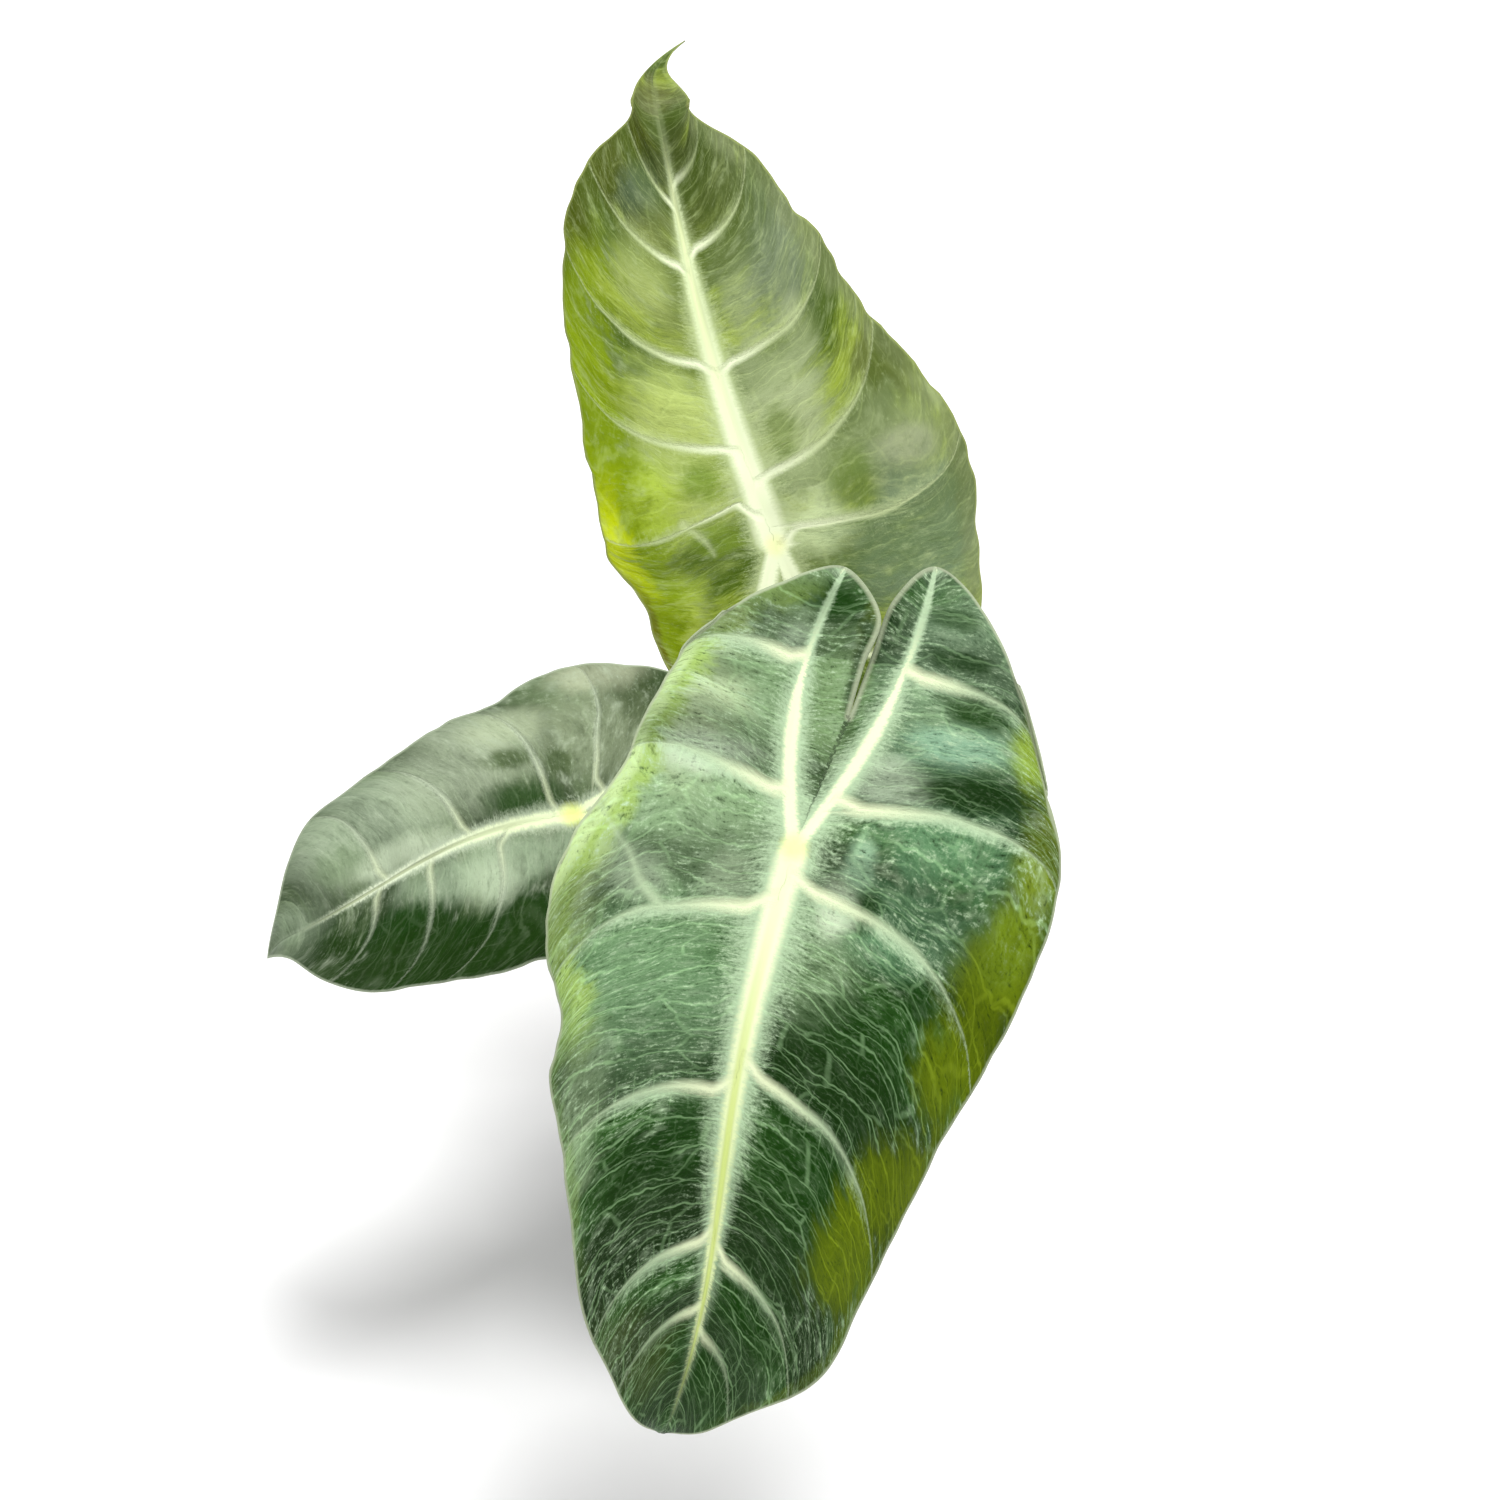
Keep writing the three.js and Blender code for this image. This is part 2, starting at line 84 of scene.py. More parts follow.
UPPER = Traits(
    navel=(13, 82, 204.5), aim=(-26.5, 186, 321.5), facing=(0, -0.6, 0.8), length=169,
    arch=10, lobe_drop=10, fold=0.22, cup=3, bow=6, sway=0.5,
    quilt=2.8, wave=1.5, curl=(154, -3, -13), midrib=(2.2, 4),
    left=Traits(
        margin=[(-34, 1), (-55, -1), (-68, -14), (-66, -34), (-54, -51), (-33, -59), (-7, -64),
                (15, -66), (34, -60), (53, -50), (70, -42), (88, -37), (103, -29), (123, -22),
                (140, -8), (147, -8), (159, -3), (169, 0)],
        lobe_tip=2, lobe_bow=-2, roots=[-1, -0.5, 0.03, 0.125, 0.34, 0.56, 0.7, 0.87, 1],
        ends=[2, 4.5, 7.3, 9.45, 11.1, 13.1, 13.9, 14.9, 17],
        wave_phase=0, lift=2, dent=0.8,
    ),
    right=Traits(
        margin=[(-34, 1), (-50, 9), (-57, 26), (-48, 37), (-30, 42), (-8, 45), (9, 52), (25, 51),
                (40, 51), (58, 49), (78, 48), (102, 43), (120, 36), (135, 24), (143, 12),
                (151, 9), (160, 4), (169, 0)],
        lobe_tip=2, lobe_bow=2, roots=[-1, -0.5, 0.1, 0.185, 0.34, 0.53, 0.65, 0.84, 1],
        ends=[2, 4.2, 6.3, 9.5, 11.1, 12.7, 13.9, 15, 17],
        wave_phase=1, lift=2, dent=0.6,
    ),
    stalk=Traits(
        base=[(0, 4, 72), (1, 9, 100), (8, 40, 138)],
        joint=[(-33, -16), (-14, -12), (-3, -6)],
        radii=[6.5, 5.2, 4.2, 3.3, 2.8],
    ),
)
LEFT = Traits(
    navel=(-46, -6, 165.5), aim=(-134, -28, 134), facing=(-0.1, -0.62, 0.78), length=98,
    arch=14, lobe_drop=0, fold=0, cup=4, bow=0, sway=-2,
    quilt=2.2, wave=1, curl=(88, -3, 2), midrib=(1.8, 3),
    left=Traits(
        margin=[(-21, 0), (-34, -5), (-46, -14), (-47, -27), (-41, -39), (-23, -48), (-6, -49),
                (11, -42), (24, -40), (37, -36), (54, -32), (70, -28), (81, -18), (90, -7),
                (98, 0)],
        lobe_tip=2, lobe_bow=-2, roots=[-1, -0.14, 0.05, 0.3, 0.57, 0.83, 1],
        ends=[2, 5.45, 7.45, 9.7, 11, 12.7, 14],
        wave_phase=0, lift=1, dent=0.35,
    ),
    right=Traits(
        margin=[(-21, 0), (-34, 6), (-42, 17), (-34, 30), (-16, 36), (7, 38), (22, 37), (37, 36),
                (54, 32), (70, 27), (82, 18), (90, 7), (98, 0)],
        lobe_tip=2, lobe_bow=2, roots=[-1, -0.28, 0.21, 0.43, 0.59, 0.84, 1],
        ends=[2, 4.2, 7.8, 8.7, 9.9, 11, 12],
        wave_phase=1, lift=1, dent=0.35,
    ),
    stalk=Traits(
        base=[(-4, 0, 72), (-7, 1, 96), (-20, 5, 130)],
        joint=[(-6, -20), (-1, -9)],
        radii=[6.5, 5, 3.8, 2.9, 2.4],
    ),
)
LEAVES = {"front": FRONT, "upper": UPPER, "left": LEFT}

# What the blades share. The notch ends at a share of the lobe's vein. Half way out, a side vein lies
# back by a share of its chord and has come a share of the way across.
NOTCH = -0.5
FOLD_ROUNDING = 3
VEIN_BOW = 0.27
VEIN_REACH = 0.85
BLADE_THICKNESS = 0.5
LATERAL_RIB = 0.8
LATERAL_WIDTH = 2
PLAN_SPAN = 300
HALVES_APART = 500
ROWS = 240
OUTER_COLUMNS = 48
INNER_COLUMNS = 16
COLUMN_CROWDING = 1.4
SEAM = 2e-6

# A margin's dents are waves: how far each turns from one point of its list to the next, its shifts and
# its size. They end at the neck, counted in points from the tip. The rim is the margin in many points.
DENT_WAVES = ((5.3, 1, 0.5), (8.9, 2, 0.35), (14, 0, 0.2))
NECK = (2.5, 5.5)
RIM_START = 0.02
RIM_POINTS = 600


# Selecting and modelling

def mode(name):
    bpy.ops.object.mode_set(mode=name)


def deselect():
    if bpy.context.object and bpy.context.object.mode != "OBJECT":
        mode("OBJECT")
    bpy.ops.object.select_all(action="DESELECT")


def activate(piece):
    deselect()
    piece.select_set(True)
    bpy.context.view_layer.objects.active = piece


def added(name):
    """The object that an operator has just added, with its place in its mesh."""
    piece = bpy.context.object
    piece.name = name
    piece.data.name = name
    bpy.ops.object.transform_apply(location=True, rotation=True, scale=True)
    return piece


def unit_grid(name, columns, rows):
    """A flat grid from 0 to 1, whose own places are read before its points are moved."""
    bpy.ops.mesh.primitive_grid_add(x_subdivisions=columns, y_subdivisions=rows, size=1,
                                    location=(0.5, 0.5, 0))
    return added(name)


def apply_modifier(piece, kind, **settings):
    activate(piece)
    modifier = piece.modifiers.new(kind.title(), kind)
    for setting, value in settings.items():
        setattr(modifier, setting, value)
    bpy.ops.object.modifier_apply(modifier=modifier.name)


def read(items, name, size, kind=float):
    """What each item holds under the name, one row of the size for each."""
    rows = np.empty(len(items) * size, kind)
    items.foreach_get(name, rows)
    return rows.reshape(-1, size)


def coordinates(piece):
    return read(piece.data.vertices, "co", 3)


def move_to(piece, places):
    piece.data.vertices.foreach_set("co", np.asarray(places, float).ravel())
    piece.data.update()


def select_faces(piece, wanted):
    """Selects the faces whose centre and normal are wanted, and goes into edit mode."""
    activate(piece)
    for vertex in piece.data.vertices:
        vertex.select = False
    for edge in piece.data.edges:
        edge.select = False
    for face in piece.data.polygons:
        face.select = wanted(face.center, face.normal)
    mode("EDIT")
    bpy.ops.mesh.select_mode(type="FACE")


def merge_doubles(piece):
    activate(piece)
    mode("EDIT")
    bpy.ops.mesh.select_all(action="SELECT")
    bpy.ops.mesh.remove_doubles(threshold=SEAM)
    bpy.ops.mesh.normals_make_consistent(inside=False)
    mode("OBJECT")


def join(pieces, name):
    deselect()
    for piece in pieces:
        piece.select_set(True)
    bpy.context.view_layer.objects.active = pieces[0]
    bpy.ops.object.join()
    pieces[0].name = name
    pieces[0].data.name = name
    return pieces[0]


def shade_smooth(piece):
    activate(piece)
    bpy.ops.object.shade_smooth()


def smooth_step(value, low, high):
    """0 at low and 1 at high, smoothly."""
    t = np.clip((value - low) / (high - low), 0, 1)
    return t * t * (3 - 2 * t)


# Shaders

class Value:
    """A socket in a material, with the operators that add Math nodes to it."""

    def __init__(self, paint, socket):
        self.paint = paint
        self.socket = socket

    def __add__(self, other):
        return self.paint.maths("ADD", self, other)

    def __sub__(self, other):
        return self.paint.maths("SUBTRACT", self, other)

    def __rsub__(self, other):
        return self.paint.maths("SUBTRACT", other, self)

    def __mul__(self, other):
        return self.paint.maths("MULTIPLY", self, other)

    def __truediv__(self, other):
        return self.paint.maths("DIVIDE", self, other)

    def __pow__(self, other):
        return self.paint.maths("POWER", self, other)

    def __abs__(self):
        return self.paint.maths("ABSOLUTE", self)

    __radd__ = __add__
    __rmul__ = __mul__


class Paint:
    """One material and the few ways in which its nodes are added."""

    def __init__(self, name, specular, **constants):
        self.material = bpy.data.materials.new(name)
        self.material.use_nodes = True
        self.nodes = self.material.node_tree.nodes
        self.links = self.material.node_tree.links
        self.shader = self.nodes["Principled BSDF"]
        self.shader.inputs["Specular IOR Level"].default_value = specular
        self.ground = None
        for socket, value in constants.items():
            self.shader.inputs[socket.replace("_", " ")].default_value = value

    def add(self, kind, settings, inputs, output=0):
        node = self.nodes.new("ShaderNode" + kind)
        for setting, value in settings.items():
            setattr(node, setting, value)
        for socket, value in inputs.items():
            self.feed(node.inputs[socket], value)
        return Value(self, node.outputs[output])

    def feed(self, socket, value):
        if isinstance(value, Value):
            self.links.new(value.socket, socket)
        elif value is not None:
            socket.default_value = value

    def maths(self, operation, *values):
        return self.add("Math", {"operation": operation}, dict(enumerate(values)))

    def step(self, value, low, high, top=1.0):
        """0 at low and top at high, either way round: straight between varying ends, else smooth."""
        if isinstance(low, Value) or isinstance(high, Value):
            settings = {"interpolation_type": "LINEAR", "clamp": True}
            return self.add("MapRange", settings, {0: value, 1: low, 2: high, 4: top})
        ends = {1: low, 2: high, 3: 0.0, 4: top} if low < high else {1: high, 2: low, 3: top, 4: 0.0}
        return self.add("MapRange", {"interpolation_type": "SMOOTHSTEP"}, {0: value, **ends})

    def mix(self, share, first, second):
        settings = {"data_type": "RGBA", "clamp_factor": True}
        inputs = {0: share, 6: rgba(first), 7: rgba(second)}
        return self.add("Mix", settings, inputs, 2)

    def coat(self, share, colour):
        """Lays a colour over what is there, by its share."""
        self.ground = self.mix(share, self.ground, colour)

    def vector(self, operation, *vectors, output=0):
        return self.add("VectorMath", {"operation": operation}, dict(enumerate(vectors)), output)

    def combine(self, x, y, z=0.0):
        return self.add("CombineXYZ", {}, {0: x, 1: y, 2: z})

    def split(self, vector):
        return [self.add("SeparateXYZ", {}, {0: vector}, axis) for axis in range(3)]

    def attribute(self, name):
        return self.add("Attribute", {"attribute_name": name}, {}, "Vector")

    def place(self):
        return self.add("TexCoord", {}, {}, "Object")

    def scaled(self, vector, scale):
        """The inputs of a texture that is as fine as the scale, a tuple where that differs by axis."""
        if isinstance(scale, tuple):
            return {"Vector": self.vector("MULTIPLY", vector, scale), "Scale": 1}
        return {"Vector": vector, "Scale": scale}

    def noise(self, vector, scale, detail=3.0, roughness=0.55, distortion=0.0, output=0):
        inputs = {"Detail": detail, "Roughness": roughness, "Distortion": distortion}
        return self.add("TexNoise", {}, {**self.scaled(vector, scale), **inputs}, output)

    def cells(self, vector, scale, feature="DISTANCE_TO_EDGE"):
        return self.add("TexVoronoi", {"feature": feature}, self.scaled(vector, scale))

    def bump(self, height, distance, strength=1.0):
        inputs = {"Height": height, "Distance": distance, "Strength": strength}
        self.feed(self.shader.inputs["Normal"], self.add("Bump", {}, inputs))

    def finish(self, roughness):
        self.feed(self.shader.inputs["Base Color"], self.ground)
        self.feed(self.shader.inputs["Roughness"], roughness)
        return self.material


def rgba(colour):
    if isinstance(colour, tuple):
        return (*colour, 1.0)
    return colour


# Leaf blades

def hermite(start, end, out, into, t):
    """The curve from start to end that leaves along out and arrives along into."""
    return ((2 * start - 2 * end + out + into) * t**3
            + (3 * end - 3 * start - 2 * out - into) * t**2 + out * t + start)


def spline(points, place):
    """The smooth curve through the points, at places from 0 to the last point's number."""
    points = np.asarray(points, float)
    last = len(points) - 1
    index = np.clip(np.floor(place).astype(int), 0, last - 1)
    t = (place - index)[:, None]
    before, start, end, after = (points[np.clip(index + k, 0, last)] for k in (-1, 0, 1, 2))
    out, into = (end - before) / 2, (after - start) / 2
    return hermite(start, end, out, into, t)


def margin_line(half, place):
    """The margin at places in its list, with small dents between the lobe's tip and the neck."""
    ahead = spline(half.margin, place + 0.1) - spline(half.margin, place - 0.1)
    outward = np.stack([-ahead[:, 1], ahead[:, 0]], 1) / (np.linalg.norm(ahead, axis=1)[:, None] + 1e-6)
    shift = half.wave_phase + half.lobe_tip
    dents = sum(np.sin(turn * place + shifts * shift) * size for turn, shifts, size in DENT_WAVES)
    left = len(half.margin) - 1 - place
    fade = smooth_step(place, half.lobe_tip, half.lobe_tip + 2) * smooth_step(left, *NECK)
    return spline(half.margin, place) + outward * (half.dent * dents * fade)[:, None]


def leaf_axes(leaf):
    navel = np.array(leaf.navel, float)
    along = np.array(leaf.aim) - navel
    along /= np.linalg.norm(along)
    facing = np.array(leaf.facing, float)
    facing -= along * (facing @ along)
    facing /= np.linalg.norm(facing)
    return navel, along, facing, np.cross(facing, along)


def axis_points(leaf, half, share):
    """Places on the midrib, or on the half's lobe vein where share is below 0."""
    sideways = leaf.bow * np.sin(math.pi * share) + leaf.sway * np.sin(2 * math.pi * share)
    midrib = np.stack([share * leaf.length, sideways], 1)
    tip = np.array(half.margin[half.lobe_tip], float)
    middle = tip / 2 + (0, half.lobe_bow)
    back = -np.minimum(share, 0)[:, None]
    lobe = 2 * back * (1 - back) * middle + back**2 * tip
    return np.where(share[:, None] >= 0, midrib, lobe)


def height_over_plan(leaf, plan):
    """The blade is arched along, folded at the midrib and cupped toward the margins."""
    u = plan[:, 0] / leaf.length
    arch = 4 * leaf.arch * u * (1 - np.maximum(u, 0)) - leaf.lobe_drop * np.minimum(u, 0) ** 2
    fold = leaf.fold * (np.hypot(plan[:, 1], FOLD_ROUNDING) - FOLD_ROUNDING)
    return arch + fold - leaf.cup * plan[:, 1] ** 2 / 1000


def blade_places(leaf, half, share, column, inner):
    """Points of the blade, with each one's place on the plan, station and distance from the midrib."""
    station = np.interp(share, half.roots, range(len(half.roots)))
    start = axis_points(leaf, half, share)
    across = column[:, None]
    if inner:
        bottom = np.array(half.margin[0]) * np.maximum(share, NOTCH)[:, None] / NOTCH
        place = half.lobe_tip * np.maximum(NOTCH - share, 0) / (NOTCH + 1)
        end = np.where(share[:, None] >= NOTCH, bottom, spline(half.margin, place))
        middle = (start + end) / 2
        fade = smooth_step(-share, -NOTCH, 0.75) * smooth_step(1 + share, 0, 0.25)
        relief = half.lift * column**2 * fade
    else:
        end = margin_line(half, np.interp(share, half.roots, half.ends))
        chord = np.linalg.norm(end - start, axis=1)
        middle = np.stack([(start[:, 0] + end[:, 0]) / 2 - VEIN_BOW * chord,
                           start[:, 1] + VEIN_REACH * (end[:, 1] - start[:, 1])], 1)
        swelling = leaf.quilt * np.sin(math.pi * station) ** 2 * np.sin(math.pi * column**0.8)
        waves = leaf.wave * column**3 * np.sin(math.pi * (station + 2 * half.wave_phase))
        relief = np.minimum(1, (1 - np.abs(share)) * 4) * (swelling + waves)
    plan = (1 - across) ** 2 * start + 2 * across * (1 - across) * middle + across**2 * end
    curl_start, curl_back, curl_aside = leaf.curl
    over = np.maximum(0, plan[:, 0] - curl_start) / (leaf.length - curl_start)
    navel, along, facing, side = leaf_axes(leaf)
    height = height_over_plan(leaf, plan) + relief + curl_back * over**2
    places = (navel + plan[:, :1] * along + (plan[:, 1:] + curl_aside * over[:, None] ** 2) * side
              + height[:, None] * facing)
    offset = np.linalg.norm(plan - start, axis=1)
    return places, plan, station, offset


def edge_distance(half, plan):
    """How far each point of the plan is from the margin of its half."""
    rim = margin_line(half, np.linspace(RIM_START, len(half.margin) - 1, RIM_POINTS))
    nearest = np.full(len(plan), 1e9)
    for start, end in zip(rim, rim[1:]):
        span = end - start
        t = np.clip((plan - start) @ span / (span @ span), 0, 1)
        nearest = np.minimum(nearest, np.linalg.norm(plan - start - t[:, None] * span, axis=1))
    return nearest


def set_attribute(piece, name, values):
    kind = "FLOAT_VECTOR" if values.ndim == 2 else "FLOAT"
    attribute = piece.data.attributes.new(name, kind, "POINT")
    attribute.data.foreach_set("vector" if values.ndim == 2 else "value", values.ravel())


def blade_panel(leaf, half, inner):
    """One side of one half: from the midrib to the margin in columns, from lobe to tip in rows."""
    columns = INNER_COLUMNS if inner else OUTER_COLUMNS
    rows = ROWS // 2 if inner else ROWS
    panel = unit_grid("panel", columns, rows)
    flat = coordinates(panel)
    column = flat[:, 0] if inner else flat[:, 0] ** COLUMN_CROWDING
    share = flat[:, 1] - 1 if inner else 2 * flat[:, 1] - 1
    places, plan, station, offset = blade_places(leaf, half, share, column, inner)
    edge = edge_distance(half, plan)
    before = np.clip(share - 1e-4, -1, 1)
    near_places, _, near_station, _ = blade_places(leaf, half, before, column, inner)
    moved = np.linalg.norm(near_places - places, axis=1)
    spacing = moved / np.maximum(np.abs(near_station - station), 1e-6)
    lobe_length = np.linalg.norm(half.margin[half.lobe_tip])
    run = np.where(share > 0, share * leaf.length, share * lobe_length)
    strength = (1 - 0.8 * np.abs(share)) * smooth_step(1 - np.abs(share), 0, 0.08)
    rib_height, rib_width = leaf.midrib
    main = rib_height * np.maximum(0, 1 - (offset / rib_width) ** 2)
    lateral = np.abs(station - np.round(station)) * spacing
    side = LATERAL_RIB * (1 - column) * np.maximum(0, 1 - (lateral / LATERAL_WIDTH) ** 2)
    move_to(panel, places * MM)
    sign = -1 if inner else 1
    set_attribute(panel, "vein", np.stack([sign * column, station, spacing], 1))
    set_attribute(panel, "reach", np.stack([offset, edge, share], 1))
    set_attribute(panel, "plan", np.column_stack([plan, np.zeros(len(plan))]))
    run = run + HALVES_APART * half.wave_phase
    set_attribute(panel, "flow", np.stack([sign * offset, run, 0 * run], 1))
    set_attribute(panel, "rib", strength * np.maximum(main, side))
    return panel


def blade(name, leaf, face, back):
    """A blade: four panels merged, given their thickness and the ribs on the underside."""
    halves = (leaf.left, leaf.right)
    panels = [blade_panel(leaf, half, inner) for half in halves for inner in (False, True)]
    piece = join(panels, name)
    merge_doubles(piece)
    facing = leaf_axes(leaf)[2]
    if (read(piece.data.polygons, "normal", 3) @ facing).mean() < 0:
        activate(piece)
        mode("EDIT")
        bpy.ops.mesh.flip_normals()
        mode("OBJECT")
    full = BLADE_THICKNESS + leaf.midrib[0]
    group = piece.vertex_groups.new(name="depth")
    for index, (rib,) in enumerate(read(piece.data.attributes["rib"].data, "value", 1)):
        group.add([index], (BLADE_THICKNESS + rib) / full, "REPLACE")
    plan = read(piece.data.attributes["plan"].data, "vector", 3)
    corners = read(piece.data.loops, "vertex_index", 1, int)[:, 0]
    layout = piece.data.uv_layers.active or piece.data.uv_layers.new(name="plan")
    layout.uv.foreach_set("vector", (plan[corners, :2] / PLAN_SPAN + 0.5).ravel())
    piece.data.materials.append(face)
    piece.data.materials.append(back)
    apply_modifier(piece, "SOLIDIFY", thickness=full * MM, offset=-1, vertex_group="depth",
                   material_offset=1, material_offset_rim=0)
    shade_smooth(piece)
    return piece


# Leaf materials

def leaf_pattern(paint, look):
    """What the veins and the tissue between them do at each point of a blade, all in millimetres."""
    step, vector, maths, cells = paint.step, paint.vector, paint.maths, paint.cells
    across, station, spacing = paint.split(paint.attribute("vein"))
    offset, edge, share = paint.split(paint.attribute("reach"))
    flow = paint.attribute("flow")
    wander = vector("SUBTRACT", paint.noise(flow, 0.05, 1, output=1), (0.5, 0.5, 0.5))
    stream = vector("MULTIPLY_ADD", wander, (0, 8, 0), flow)
    fibre = paint.noise(stream, (0.25, 1.2, 1), 4, 0.65)
    fuzz = paint.noise(stream, (1, 1.6, 1), 4, 0.75)
    patch = paint.noise(stream, (0.035, 0.1, 1), 3, 0.55)
    mottle = paint.noise(stream, (0.13, 0.3, 1), 3, 0.6)

    far = abs(share)
    lobe_rib = step(far, 0.66, 0.4, look.lobe_rib - 0.5) + 0.5
    midrib = (1 - far) ** 1.3 * look.rib + 0.4
    rib = lobe_rib + (midrib - lobe_rib) * step(share, -0.02, 0.02)
    bend = step(across, 0.1, 0, 0.07)
    drift = station + bend + (paint.noise(flow, 0.045, 1) - 0.5) * 0.08 + (fuzz - 0.5) * 0.02
    lateral = maths("PINGPONG", drift, 0.5) * spacing

    # Threads fork as they run out from the midrib, rungs cross beside side veins, and a net joins them
    ripple = vector("SUBTRACT", paint.noise(flow, 0.2, 2, output=1), (0.5, 0.5, 0.5))
    strand = vector("MULTIPLY_ADD", ripple, (2, 2.6, 0), stream)
    out, run, _ = paint.split(strand)
    slant = paint.noise(flow, (0.02, 0.05, 1), 1)
    apart = maths("PINGPONG", run / 6.4 + slant * 1.6, 0.5)
    shown = step(paint.noise(stream, (0.05, 0.25, 1), 2), 0.35, 0.55)
    thread = step(apart, 0.06, 0.01) * (shown * 0.7 + 0.3)
    fork = step(cells(strand, (1 / 24, 1 / 6, 1)), 0.035, 0.005, 0.8) * (1 - shown * 0.4)
    rung = step(maths("PINGPONG", out / 4.6 + slant, 0.5), 0.07, 0.01, 0.5)
    rung = rung * step(lateral, 8, 3) * step(across, 0.1, 0.3)
    net = step(cells(strand, (1 / 6, 1 / 3.4, 1)), 0.06, 0.015, 0.14)
    lines = maths("MAXIMUM", maths("MAXIMUM", thread, fork), rung + net)
    return Traits(
        across=across, offset=offset, edge=edge, share=share, far=far, fibre=fibre, fuzz=fuzz,
        patch=patch, mottle=mottle, lines=lines, rib=rib, apart=apart, wander=wander, lateral=lateral,
        past=maths("FRACT", drift), outer=step(across, -0.01, 0.02))


def branch(paint, plan, start, end, fuzz):
    """A side vein's branch: a line that thins from its start to its end on the plan."""
    span = (end[0] - start[0], end[1] - start[1], 0)
    along = paint.vector("SUBTRACT", plan, (*start, 0))
    run = paint.vector("DOT_PRODUCT", along, span, output=1) / math.hypot(*span) ** 2
    run = paint.maths("MINIMUM", paint.maths("MAXIMUM", run, 0), 1)
    nearest = paint.vector("MULTIPLY", paint.combine(run, run, run), span)
    away = paint.vector("DISTANCE", along, nearest, output=1)
    return paint.step(away + (fuzz - 0.5) * 3 + run * 0.8, 2.6, 0.2) * (1 - run * 0.5)


